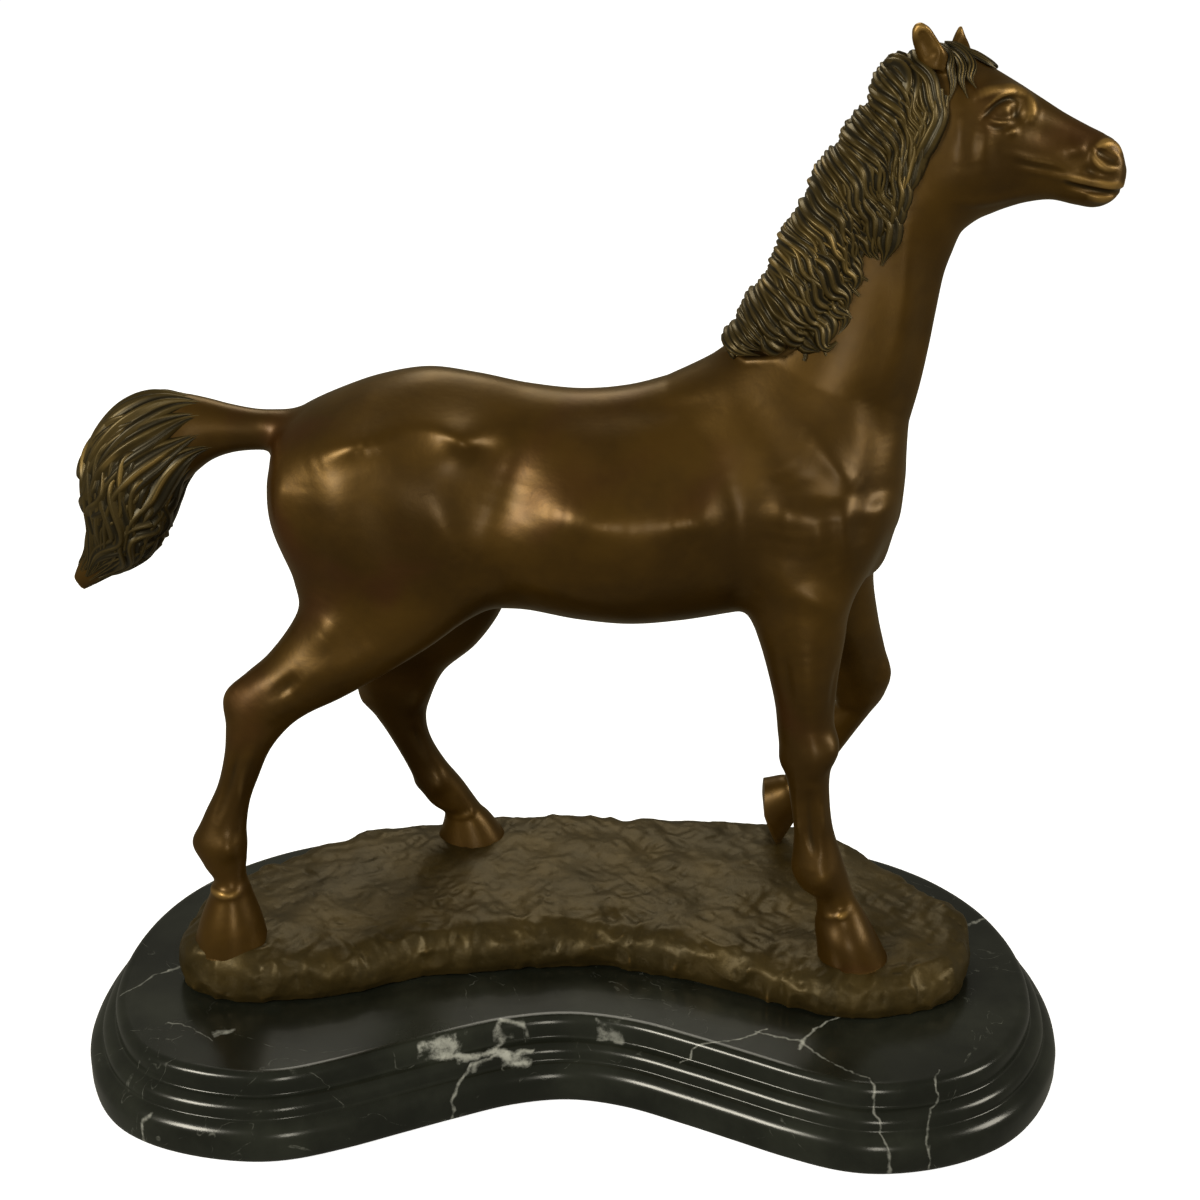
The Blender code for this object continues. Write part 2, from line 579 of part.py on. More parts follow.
def add_ring(bm, x, y, foot, head, radius, sides):
    """A washer or a nut: an upright ring with a round bore, its outside a polygon."""
    around = 24 if sides == 6 else sides
    bore = STUD_RADIUS + GAP
    outer, inner = [], []
    for step in range(around):
        angle = math.tau * step / around
        reach = radius
        if sides == 6:
            turn = (angle + math.pi / 6) % (math.pi / 3) - math.pi / 6
            reach = radius * math.cos(math.pi / 6) / math.cos(turn)
        outer.append((x + reach * math.cos(angle), y + reach * math.sin(angle)))
        inner.append((x + bore * math.cos(angle), y + bore * math.sin(angle)))
    rings = [[bm.verts.new(place(px, py, z)) for px, py in edge]
             for edge, z in ((outer, foot), (outer, head), (inner, head), (inner, foot))]
    for ring, after in zip(rings, rings[1:] + rings[:1]):
        for step in range(around):
            turn = (step + 1) % around
            bm.faces.new((ring[step], ring[turn], after[turn], after[step]))


def build_pads(felt):
    for side, (x, y) in PAD_PLACES.items():
        bm = bmesh.new()
        add_cylinder(bm, x, y, -LIFT, -GAP, PAD_RADIUS, segments=28)
        add_object(f"{side}_felt_pad", bm, felt)


def main():
    clear_scene()
    horse_bronze = make_material("horse_bronze", (0.11, 0.06, 0.025), 0.3, 1.0)
    ground_bronze = make_material("ground_bronze", (0.13, 0.085, 0.035), 0.45, 1.0)
    black_marble = make_material("black_marble", (0.02, 0.022, 0.018), 0.12, 0.0)
    zinc_steel = make_material("zinc_steel", (0.55, 0.56, 0.58), 0.35, 1.0)
    green_felt = make_material("dark_felt", (0.03, 0.035, 0.03), 0.95, 0.0)
    build_horse(horse_bronze)
    build_ground(ground_bronze, hoof_seats())
    build_marble(black_marble)
    build_hardware(zinc_steel)
    build_pads(green_felt)


main()
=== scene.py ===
"""The finished look of the bronze statuette of a young horse on its stepped marble base.

The castings are modelled like clay. Each one is a block of distances to its skin, in which forms are
joined, muscles raised and folds pressed in, and which is then turned into a mesh. The hair is swept by
Geometry Nodes along paths laid over that clay. Lengths are millimetres. X runs towards the head, Y away
from the near side and Z up, and heights are measured up from the underside of the marble.
"""

import math

import bmesh
import bpy
import numpy as np
import openvdb as vdb
from mathutils import Matrix, Vector


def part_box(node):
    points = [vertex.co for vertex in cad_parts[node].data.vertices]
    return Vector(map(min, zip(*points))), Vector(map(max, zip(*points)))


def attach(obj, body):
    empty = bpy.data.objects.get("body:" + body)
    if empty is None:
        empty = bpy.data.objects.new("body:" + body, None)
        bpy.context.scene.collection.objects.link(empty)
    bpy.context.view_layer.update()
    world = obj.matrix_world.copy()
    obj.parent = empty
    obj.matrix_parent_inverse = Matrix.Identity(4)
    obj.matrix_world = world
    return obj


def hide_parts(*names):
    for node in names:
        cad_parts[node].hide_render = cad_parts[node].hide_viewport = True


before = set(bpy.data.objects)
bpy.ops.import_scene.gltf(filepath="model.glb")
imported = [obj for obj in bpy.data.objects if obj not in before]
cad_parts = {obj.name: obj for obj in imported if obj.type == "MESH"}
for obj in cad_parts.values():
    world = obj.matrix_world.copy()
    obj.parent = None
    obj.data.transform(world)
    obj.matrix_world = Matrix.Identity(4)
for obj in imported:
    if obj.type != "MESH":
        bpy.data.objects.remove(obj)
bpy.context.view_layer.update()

MM = 0.001
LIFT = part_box("marble_base")[0].z / MM

# Middle plane of the horse, and its two sides
MID = 6.0
NEAR, OFF = -1, 1

# How deep the distances are kept round a skin, how many reaches out a form still counts, and a distance to
# the side that is well outside the horse
DEEP = 8.0
SPREAD = 2.6
HALF_ROOM = 70

# ---------------------------------------------------------------- forms of the horse
# Sections: (x, z) of one edge, (x, z) of the other edge, middle y, half width, and how much narrower
# the first edge is than the other.
TRUNK = [
    (-93, 201, -93, 185, MID, 7, 0), (-90.5, 208.5, -90.5, 176, MID, 18, 0),
    (-84, 213.4, -84, 168, MID, 25, 0),
    (-73, 218.6, -73, 160, MID, 29, 0.05), (-60, 223.7, -60, 155, MID, 31, 0.1),
    (-45, 226.8, -45, 152.5, MID, 30.5, 0.15), (-30, 225.2, -30, 151.8, MID, 29.5, 0.2),
    (-14, 222, -14, 151.5, MID, 31, 0.2), (2, 220.4, 2, 149, MID, 33, 0.2),
    (18, 221.9, 18, 147.6, MID, 33.5, 0.2), (34, 226.4, 34, 148.6, MID, 31.5, 0.22),
    (50, 230.6, 50, 151, MID, 28.5, 0.25), (65, 231, 65, 153, MID, 26.5, 0.22),
    (80, 226, 78.5, 156, MID, 24.5, 0.18),
    (90.5, 218, 88, 160.5, MID, 20.5, 0.1), (97, 208, 95.5, 168, MID, 14.5, 0.05),
    (100, 198, 99.5, 179, MID, 8, 0),
]
NECK = [
    (95.5, 184, 26, 208, MID, 18), (99.3, 200, 36, 222, MID, 18.5), (101.8, 212, 47, 232, MID, 17),
    (104.6, 224, 57, 242, MID, 14.8), (106.6, 236, 63, 254, MID, 13), (108.2, 248, 68, 267, MID, 12),
    (109.8, 259, 74, 281.5, MID, 11.2), (112.2, 267.5, 81, 293, MID, 10.8),
    (114.2, 275.6, 88, 304, MID, 10.3),
    (113, 284, 94, 314.5, MID, 8.8),
]
HEAD = [
    (97, 318, 98, 296, MID, 7), (101.5, 323, 101, 284, MID, 10.3), (108, 325, 107, 277.5, MID, 11.8),
    (115, 322.5, 114.5, 274.4, MID, 12.2), (122, 318.6, 121, 276.3, MID, 11.6),
    (129, 314.6, 127.5, 278.6, MID, 10),
    (136, 310.4, 134, 280.3, MID, 8.3), (143, 306.2, 141, 281, MID, 7.3), (150, 302.6, 148, 279.6, MID, 7),
    (156, 299.6, 153.5, 278.8, MID, 7.1), (160.2, 295.6, 157.6, 280, MID, 6.2),
    (162.2, 290.5, 160.8, 283, MID, 3.6),
]
DOCK = [
    (-84, 202, -84, 212.2, MID, 5), (-92, 202.4, -92, 213.4, MID, 5.3), (-99, 201.6, -99.5, 214, MID, 5.6),
    (-107, 200.4, -107.5, 215.6, MID, 6.4), (-114, 197.6, -115, 217.6, MID, 7.4),
    (-120.5, 192.4, -122.5, 218.8, MID, 8.8),
    (-126, 187.4, -131, 217.6, MID, 9.6), (-128.6, 183, -141, 212.8, 5.5, 10.5),
    (-130.4, 178.5, -148.2, 204.6, 5, 10.8), (-132.4, 174, -152.2, 195, 4.5, 10.2),
    (-135.8, 168.8, -153.2, 186, 4, 9.2),
    (-140.5, 164.8, -152.8, 177, 4, 7.6), (-147.5, 160, -155.6, 169, 4, 5),
    (-154.5, 155.6, -159.4, 162, 4, 2.8),
    (-158.4, 153.6, -161.2, 158, 4, 1.4),
]
NEAR_HIND = [
    (-24, 184, -89, 194, -8, 13), (-23, 168, -90, 182, -9, 16), (-29, 157, -86.2, 164, -10, 15.5),
    (-40.5, 147, -85, 156, -12.5, 13.6), (-55.5, 137.5, -88.5, 149, -15.5, 11.6),
    (-71.5, 128.5, -95.5, 140.5, -18, 9.6),
    (-83, 123, -102.5, 134.5, -19.5, 8), (-90, 118, -108, 127.5, -20.5, 7.2),
    (-96.5, 110, -109, 118.5, -21.5, 6.4),
    (-101, 100, -110, 109, -22.5, 5.4), (-104, 92, -113, 97.5, -23, 4.9),
    (-105.5, 83.5, -118, 87, -24, 5.2),
    (-105.5, 77.5, -121.5, 78, -25, 6), (-106, 72, -119, 70.5, -25.5, 5.6),
    (-106.5, 66.5, -116, 65.5, -26, 5.1),
    (-105, 60.5, -117, 61, -26.5, 6.4), (-102, 51, -121, 51, -27.5, 8.8), (-100, 41, -124, 41, -28, 10.3),
]
OFF_HIND = [
    (-24, 184, -88, 190, 20, 13), (-23, 168, -86, 174, 21, 16), (-23.5, 156, -82, 158, 22, 15),
    (-25, 142, -80, 143, 24.5, 13), (-34, 127, -79, 129, 27.5, 11), (-46, 115, -78, 118, 30.5, 9),
    (-52, 102, -75, 107, 32.5, 7.6), (-53.5, 94, -72, 100, 33.5, 6.6), (-52, 85.5, -66.5, 90, 34.5, 5.4),
    (-47.5, 76, -61, 78, 36, 4.9), (-42, 67.5, -57, 68, 37.5, 5.8), (-38, 60.5, -53, 60.5, 38.5, 5.9),
    (-35.5, 56.5, -48, 56, 39, 5.1), (-32.5, 53, -48, 51.5, 39.5, 6.6), (-28, 46, -50, 45, 40, 8.8),
    (-26, 40.5, -51, 40.5, 40, 9.8),
]
NEAR_FORE = [
    (95, 190, 48, 190, -8, 13), (92, 174, 51, 172, -10, 13.5), (86, 159, 56.5, 155, -13.5, 12.5),
    (84, 146, 60.5, 143.5, -16, 10.4), (82.5, 134, 64.5, 128, -18, 8.5), (82, 122, 66, 116.5, -19.5, 7.2),
    (83.5, 114, 67.5, 108, -20.5, 7.4), (81.5, 105, 69.5, 100.5, -21, 6.4), (81.5, 96.5, 70.5, 95, -22, 5),
    (83, 85.5, 72, 84, -23, 4.8), (86.5, 74.5, 72, 73.5, -24, 5.9), (88.5, 68.5, 74, 66, -24.5, 5.9),
    (90, 63.5, 79, 62, -25, 5), (91.5, 60, 80.5, 57, -25.5, 5), (94, 56, 80.5, 53, -26, 6.4),
    (98, 49, 80.5, 48, -27, 8.6), (102.5, 40, 81, 40, -27.5, 9.8),
]
OFF_FORE = [
    (95, 188, 58, 188, 20, 12), (94.5, 172, 63, 170, 20, 12.5), (96, 155, 72, 152, 21, 11.4),
    (99, 139, 78, 136, 23, 9.6), (102, 127, 83, 123, 26, 8), (104.3, 117, 87, 113, 28.5, 7.4),
    (103.4, 108.5, 88.5, 106, 30.5, 6.8), (99, 100.5, 88.5, 102.5, 32, 5.5), (93, 90, 83, 96, 33.5, 4.7),
    (87, 79, 77.5, 86.5, 35, 4.9), (84.5, 70.5, 75, 78.5, 36.5, 5.7), (80, 62.5, 73.5, 71.5, 37.5, 5),
    (76, 55.3, 70.2, 70, 38.5, 6.7), (70.8, 45, 62.8, 67.4, 40, 8.8),
]
MANE_BED = [
    (99, 314, 93.5, 320, 2, 5), (94, 300, 86.5, 308, 1, 6.5), (90, 287, 77.5, 294.5, 0, 7.5),
    (85, 272, 69.5, 280.5, -0.5, 8), (79, 257, 63.5, 267, -1, 8.5), (72, 246, 57, 254.5, -1.5, 9),
    (64, 238, 48.5, 242.5, -1.5, 9), (55, 235, 46.5, 237, -1, 3.5),
]
NEAR_EAR = [
    (107.2, 319, 99.5, 320, -0.3, 3.4), (107, 323.6, 97.8, 325.6, -1, 3.3),
    (103.4, 327.8, 96.6, 329.4, -1.6, 2.6),
    (101.2, 330.7, 97.2, 331.6, -2, 1.6), (99.6, 332.1, 98.6, 332.3, -2.1, 0.6),
]
FAR_EAR = [
    (116, 317, 108.6, 319, 12.6, 3.2), (115.8, 322.5, 109.8, 324, 13.4, 2.9),
    (114.2, 326.5, 110.9, 327.2, 14, 1.8),
    (113, 329.2, 112, 329.4, 14.4, 0.6),
]

# The bodies of the horse in the order that they are joined, and how far each is blended into the rest
BODIES = [
    (TRUNK, 6), (NECK, 14), (HEAD, 4), (NEAR_HIND, 7), (OFF_HIND, 7), (NEAR_FORE, 7), (OFF_FORE, 7),
    (DOCK, 4),
]

# Tufts and notches along the crest of the mane: (x, z), height
TUFT_REACH = (4.5, 9, 4.5)
CREST_TUFTS = [
    ((93, 315), 1.2), ((87.5, 307.5), -1.6), ((84.5, 301.5), 1.4), ((80, 296.5), -1.2), ((75, 290), 1.3),
    ((67, 282.5), -1.6), ((62.5, 274), 1.5), ((60.5, 265.5), 0.6), ((58, 259), -1.1), ((53, 251), 1.3),
    ((49, 243), -1.0), ((45.5, 238), 0.8),
]

# Broad masses of muscle and bone: middle (x, y, z), reach (x, y, z), height
MASSES = [
    ((-60, -14, 192), (26, 20, 24), 3.6), ((-60, 26, 192), (26, 20, 24), 3.6),
    ((-31, -17, 213), (11, 13, 9), 2.2), ((-31, 29, 213), (11, 13, 9), 2.2),
    ((78, -13, 190), (17, 16, 24), 2.6), ((78, 25, 190), (17, 16, 24), 2.6),
    ((94, -2, 187), (9, 8, 17), 1.6), ((94, 14, 187), (9, 8, 17), 1.6),
    ((94, -3, 166), (8, 8, 8), 1.0), ((94, 15, 166), (8, 8, 8), 1.0),
    ((8, -26, 188), (34, 18, 22), 1.8), ((8, 38, 188), (34, 18, 22), 1.8),
    ((112, -3, 290), (12, 12, 13), 2.2), ((112, 15, 290), (12, 12, 13), 2.2),
]

# Ridges and folds, alike on both sides of the horse: path of (x, z), reach, height (negative presses in)
SIDE_FORMS = [
    # quarters
    ([(-64, 213), (-52, 216), (-39, 217), (-26, 211)], 4.0, 0.7),
    ([(-80, 207), (-68, 211.5), (-57, 213.5)], 5.0, 1.0),
    ([(-66, 218), (-45, 222), (-30, 221), (-12, 217.5)], 4.5, -0.4),
    ([(-80, 200), (-78.5, 188), (-76, 173), (-77, 162)], 5.0, -0.8),
    ([(-88.5, 203), (-90, 190), (-87, 174)], 3.6, 0.9),
    ([(-40, 198), (-37, 188), (-33.5, 172), (-33, 160)], 6.0, 0.7),
    ([(-61, 203), (-55, 186), (-50, 168)], 7.0, -0.8),
    # flank
    ([(-18, 206), (-19, 198), (-23, 188)], 9.5, -2.3),
    ([(-26, 182), (-22, 170), (-16, 161)], 7.0, -1.2),
    ([(-33, 158), (-22, 166), (-6, 168), (10, 163)], 4.5, 0.5),
    # back and ribs
    ([(-6, 216.3), (12, 216.8), (31, 219.6), (43, 223)], 3.2, -0.9),
    ([(-8, 194), (6, 191.5), (20, 190)], 9.0, 1.0),
    ([(28, 190), (40, 191), (44, 184)], 8.0, 1.5),
    ([(52, 223), (60, 214), (66, 204)], 5.0, -0.9),
    # shoulder
    ([(46.5, 203), (48.8, 191), (50.2, 182), (51.8, 173), (56, 161)], 6.0, -1.3),
    ([(60, 206), (64, 194), (63, 182)], 6.5, 1.2),
    ([(70, 215), (80, 206), (88, 199)], 4.5, 0.8),
    ([(88.4, 226), (91, 218.5), (92.4, 210), (91.4, 203)], 4.0, -1.0),
    ([(91.4, 203), (90.8, 195), (88.6, 186)], 3.6, -0.6),
    ([(81.4, 196), (82.3, 184.5), (84, 174)], 4.4, 0.9),
    ([(78.4, 194), (79.4, 184), (80.6, 173)], 3.4, -0.7),
    ([(74.6, 191), (76.4, 181)], 4.2, 0.6),
    ([(86.8, 192), (87.6, 183)], 3.4, -0.5),
    ([(62, 173.5), (63.2, 171)], 7.0, 1.0),
    ([(99.4, 181), (95.2, 173.5), (90, 163.5), (86.4, 155.5)], 3.6, -0.9),
    ([(66, 168), (76, 165), (84, 160)], 4.0, 0.7),
    # neck
    ([(97, 280), (99.5, 262), (99.5, 244), (96, 228)], 4.5, 0.9),
    ([(106, 268), (104.6, 250), (102, 232), (97.5, 214)], 4.5, -0.7),
]

# Knees, hocks, fetlocks and tendons: path of (x, y, z), reach, height
LIMB_FORMS = [
    # near hind
    ([(-104, -21, 133), (-108, -21, 128), (-107.5, -22, 122)], 3.4, 1.2),
    ([(-88, -27, 131), (-95, -28, 124)], 3.6, 0.9), ([(-84, -27, 138), (-92, -27.5, 131)], 2.2, -0.8),
    ([(-99, -27, 117), (-104, -28, 104), (-106.5, -28.5, 90)], 1.7, 0.6),
    ([(-104.5, -27.6, 112), (-109, -28, 99), (-113, -29, 88)], 1.4, -0.7),
    ([(-108, -31, 80), (-111.5, -31.5, 77)], 4.0, 0.9), ([(-120.5, -25, 79.5), (-121, -25, 76)], 2.6, 0.9),
    ([(-106, -26, 62.6), (-110, -34, 62.6), (-117, -30, 62.6), (-118, -24, 62.8)], 1.5, 0.6),
    ([(-60, -25, 147), (-74, -27, 140), (-86, -28, 134)], 4.4, 0.8),
    ([(-72, -22, 155), (-77, -24, 150)], 5.0, 1.0),
    # off hind
    ([(-54, 26, 108), (-57, 26, 99)], 3.0, 0.7), ([(-74, 31, 105), (-72, 32, 101)], 3.2, 1.1),
    ([(-48, 31, 72), (-52, 31, 67)], 3.4, 0.9), ([(-56.5, 37.5, 69), (-57, 37.5, 66)], 2.6, 0.8),
    ([(-46, 41, 56.8), (-38, 33, 56.8), (-48, 34, 55)], 1.5, 0.5),
    ([(-58, 29, 95), (-53, 30, 82)], 1.5, -0.6),
    # near fore
    ([(82, -25, 116), (81, -26, 111)], 3.8, 1.1), ([(68, -22, 112), (67.5, -21.5, 107)], 2.8, 0.9),
    ([(76, -28, 122), (76, -28, 104)], 4.0, 0.5),
    ([(75, -27.5, 100), (76, -28, 86), (78, -29, 78)], 1.4, -0.8),
    ([(79, -27, 100), (80.5, -28, 84)], 1.7, 0.5), ([(71.5, -26, 98), (73, -27.5, 82)], 1.7, 0.5),
    ([(79, -30, 73), (81, -30.5, 69)], 4.2, 1.0), ([(72.5, -24.5, 74), (73.5, -24.5, 69)], 2.6, 0.9),
    ([(92, -25, 58.6), (86, -33, 58), (80, -30, 56.6)], 1.5, 0.6),
    ([(81, -26, 56), (80.6, -27, 48)], 2.6, 0.7),
    ([(72, -25, 150), (73, -26.5, 138), (73, -27, 126)], 4.4, 0.8),
    ([(66.5, -24, 150), (68, -26, 130)], 2.2, -0.6),
    ([(83, -22, 142), (81.5, -24, 128)], 1.8, -0.5),
    # off fore
    ([(103, 23, 121), (103, 25, 114)], 4.0, 1.0), ([(88, 28, 113), (89, 30, 106)], 2.8, 0.7),
    ([(86, 31, 90), (82, 32, 84)], 1.5, -0.6), ([(79, 31, 77), (78, 31.5, 73)], 3.8, 0.9),
    ([(76, 33, 68), (79, 34, 63)], 1.4, 0.6),
]

# The face, the same on both sides: path of (x, z), reach, height
FACE_FORMS = [
    # eye socket, eyeball, lids and brow
    ([(124.0, 307.6)], (4.6, 3.4, 3.4), -1.3), ([(127.8, 307.0)], (1.9, 2.0, 2.2), -1.3),
    ([(123.9, 308.0)], (2.7, 2.0, 2.0), 1.7),
    ([(114.6, 312.0), (118.3, 313.1), (122.0, 313.5), (126.0, 313.6), (129.2, 312.9)], 2.1, 1.7),
    ([(128.6, 312.8), (131.0, 311.0), (132.2, 308.2), (131.4, 305.0)], 2.2, 1.7),
    ([(117.8, 308.4), (120.3, 310.2), (123.0, 311.9), (126.0, 312.4)], 0.9, 0.5),
    ([(117.4, 306.2), (119.4, 307.9), (122.0, 310.1), (125.2, 311.3), (127.8, 310.6)], 0.75, -1.1),
    ([(119.0, 306.0), (121.5, 305.1), (124.6, 304.9), (127.6, 305.4)], 0.8, 0.7),
    ([(119.0, 304.4), (122.0, 303.4), (125.0, 303.6)], 0.9, -0.5), ([(126.4, 302.4)], (1.6, 1.5, 1.3), 0.7),
    # cheek
    ([(119.6, 304.0), (118.4, 299.5), (118.0, 295.5)], 2.8, 0.5),
    ([(114.6, 305.0), (115.0, 298.5), (116.2, 292.5)], 3.4, -0.6),
    ([(110.9, 311.0), (111.6, 302.8), (112.6, 294.0)], 3.8, 0.7),
    ([(121.5, 301.5), (123.0, 296.0), (123.6, 291.0)], 3.2, -0.5),
    ([(112.0, 282.6), (120.0, 282.0), (129.0, 283.2), (138.0, 284.2)], 1.9, 0.6),
    # flat of the nose, and the muscles that lift the lips
    ([(131.5, 303.0), (138.0, 300.6), (144.0, 299.4)], 3.0, -0.7),
    ([(125.0, 296.5), (132.7, 294.3), (139.0, 293.0), (144.2, 290.8)], 1.1, 0.6),
    ([(129.0, 291.6), (136.0, 290.4), (142.0, 289.0)], 1.3, 0.5),
    ([(128.0, 293.6), (136.0, 291.6), (142.0, 290.0)], 0.9, -0.4),
    ([(143.4, 297.0), (148.2, 296.8)], 2.1, 0.9),
    # nostril
    ([(151.6, 297.0), (154.6, 298.3), (157.6, 297.6), (159.8, 295.6)], 1.4, 1.3),
    ([(150.8, 296.4), (151.8, 293.8), (154.6, 291.6), (158.0, 291.4)], 1.1, 1.0),
    ([(152.4, 296.3), (155.2, 294.9), (158.4, 293.3)], 1.15, -2.4),
    # lips and chin
    ([(149.0, 291.6), (152.0, 289.6)], 1.5, -0.6),
    ([(140.8, 289.0), (147.0, 288.4), (151.6, 287.6), (156.2, 286.6), (160.6, 286.0)], 1.5, 1.1),
    ([(143.6, 287.2), (146.3, 286.2), (150.0, 285.3), (154.1, 284.6), (158.2, 284.1), (162.4, 284.2)],
     0.85, -2.0),
    ([(150.0, 283.0), (154.5, 282.2), (158.6, 282.2)], 1.5, 0.9),
]

# The ears, on the side that is seen: the near one, then the far one
EAR_FORMS = [
    ([(98.9, 329.6), (100.4, 326.6), (102.3, 322.8)], 1.7, -2.9),
    ([(98.6, 331.6), (101.0, 330.6), (103.6, 327.2), (106.2, 323.6)], 0.8, 0.7),
    ([(97.4, 330.6), (97.2, 327.0), (98.6, 322.6)], 0.8, 0.5),
    ([(112.9, 327.8), (113.0, 325.6), (113.3, 322.8)], 1.3, -2.0),
]

# Ground
GROUND_OUTLINE = [
    (132.7, -4), (131, -20), (125, -32), (113, -40.5), (100, -45), (87, -44), (71, -39), (55, -31.8),
    (37, -24.5), (16, -18.6), (-4, -17.8), (-28, -21), (-52, -26), (-68, -33.4), (-86, -39.2),
    (-108, -41.6),
    (-122, -38), (-130, -29), (-131, -14), (-127, 3), (-117, 15), (-107, 25), (-93, 35.5), (-73, 46),
    (-49, 52), (-21, 55.5), (5, 57.5), (34, 57), (66, 54.5), (84, 48.5), (95, 41.5), (104.5, 31),
    (115, 19.5), (126, 8),
]
GROUND_FOOT = 26.3
GROUND_TOP = 41.0
GROUND_RISE = 0.068
GROUND_BEND = 9.0
GROUND_BLOCK = ((-138, -52, 22), (140, 64, 56))
MOUND = (-111.0, -26.0, 21.0, 4.5)

# Strokes of the modelling tool: seed, way in radians, how much they are drawn out
STROKES = [(3, 0.15, 0.34), (4, 1.05, 0.4), (5, -0.75, 0.36), (6, 0.5, 0.5)]

# Marble
MARBLE_HALF = [
    (0, -53.6), (18, -56.8), (36, -64.6), (52, -72.4), (68, -80.2), (84, -86.2), (98, -87.6), (114, -84.8),
    (129, -78.4), (141, -69), (151, -55), (158, -38), (160.4, -20), (159.6, -2), (156, 15), (149.5, 31),
    (140, 45.5), (128, 58), (112, 69), (92, 77.5), (68, 83), (42, 86.2), (18, 87.4), (0, 87.6),
]
MARBLE_PROFILE = [
    (2.4, 0.0), (1.0, 0.3), (0.2, 1.2), (0.0, 2.6), (0.0, 8.0), (0.3, 9.6), (1.1, 11.0), (2.4, 12.2),
    (3.6, 12.8),
    (4.3, 13.0), (4.6, 13.3), (4.65, 14.0), (4.7, 15.6), (5.1, 16.7), (6.0, 17.7), (7.4, 18.4), (8.6, 18.6),
    (9.1, 18.8), (9.3, 19.3), (9.35, 20.4), (9.5, 23.2), (9.9, 24.5), (10.6, 25.4), (11.6, 25.9),
    (13.0, 26.0),
]
STUD_PLACES = [(-88.0, 6.0), (4.0, 24.0), (98.0, 4.0)]

# Drills at each stud: foot, head, radius. The first makes the counterbore, the second the through hole.
DRILLS = [(-4, 10, 11), (9, 32, 3.6)]


# ---------------------------------------------------------------- small helpers
def smooth_path(rows, steps):
    """The rows of numbers with steps - 1 more between each two, on a smooth curve through them."""
    rows = np.array(rows, float)
    ends = np.vstack([2 * rows[0] - rows[1], rows, 2 * rows[-1] - rows[-2]])
    made = []
    for a, b, c, d in zip(ends, ends[1:], ends[2:], ends[3:]):
        for t in np.arange(steps) / steps:
            slope_b, slope_c = (c - a) / 2, (d - b) / 2
            rise = 3 * (c - b) - 2 * slope_b - slope_c
            made.append(b + slope_b * t + rise * t**2 + (slope_b + slope_c - 2 * (c - b)) * t**3)
    made.append(rows[-1])
    return np.array(made)


def closed_path(corners, steps):
    """A closed outline as a smooth curve through its corners."""
    corners = [tuple(c) for c in corners]
    path = smooth_path(corners[-2:] + corners + corners[:2], steps)
    return path[2 * steps:(2 + len(corners)) * steps]


def inset(points, distance):
    """A clockwise outline moved inwards along its own normals."""
    tangent = np.roll(points, -1, axis=0) - np.roll(points, 1, axis=0)
    tangent /= np.linalg.norm(tangent, axis=1, keepdims=True)
    return points + np.stack([tangent[:, 1], -tangent[:, 0]], axis=1) * distance


def step_up(value, low, high):
    """0 below low, 1 above high and a soft step between them."""
    t = np.clip((value - low) / (high - low), 0, 1)
    return t * t * (3 - 2 * t)


def soft_min(a, b, reach):
    """The nearer of two distances, with the corner between them rounded over a reach."""
    h = np.clip(1 - np.abs(a - b) / reach, 0, 1)
    return np.minimum(a, b) - h * h * reach / 4


def lattice_noise(x, y, z, size, seed):
    """Smooth noise from -1 to 1 with lumps of about the given size."""
    table = np.random.default_rng(seed).uniform(-1, 1, (64, 64, 64)).astype(np.float32)
    parts = []
    for axis in (x, y, z):
        scaled = np.asarray(axis, np.float32) / size + 1000
        whole = np.floor(scaled).astype(int)
        t = scaled - whole
        parts.append((whole & 63, (whole + 1) & 63, t * t * (3 - 2 * t)))
    (x0, x1, tx), (y0, y1, ty), (z0, z1, tz) = parts
    low = (table[x0, y0, z0] * (1 - tx) + table[x1, y0, z0] * tx) * (1 - ty)
    low = low + (table[x0, y1, z0] * (1 - tx) + table[x1, y1, z0] * tx) * ty
    high = (table[x0, y0, z1] * (1 - tx) + table[x1, y0, z1] * tx) * (1 - ty)
    high = high + (table[x0, y1, z1] * (1 - tx) + table[x1, y1, z1] * tx) * ty
    return low * (1 - tz) + high * tz


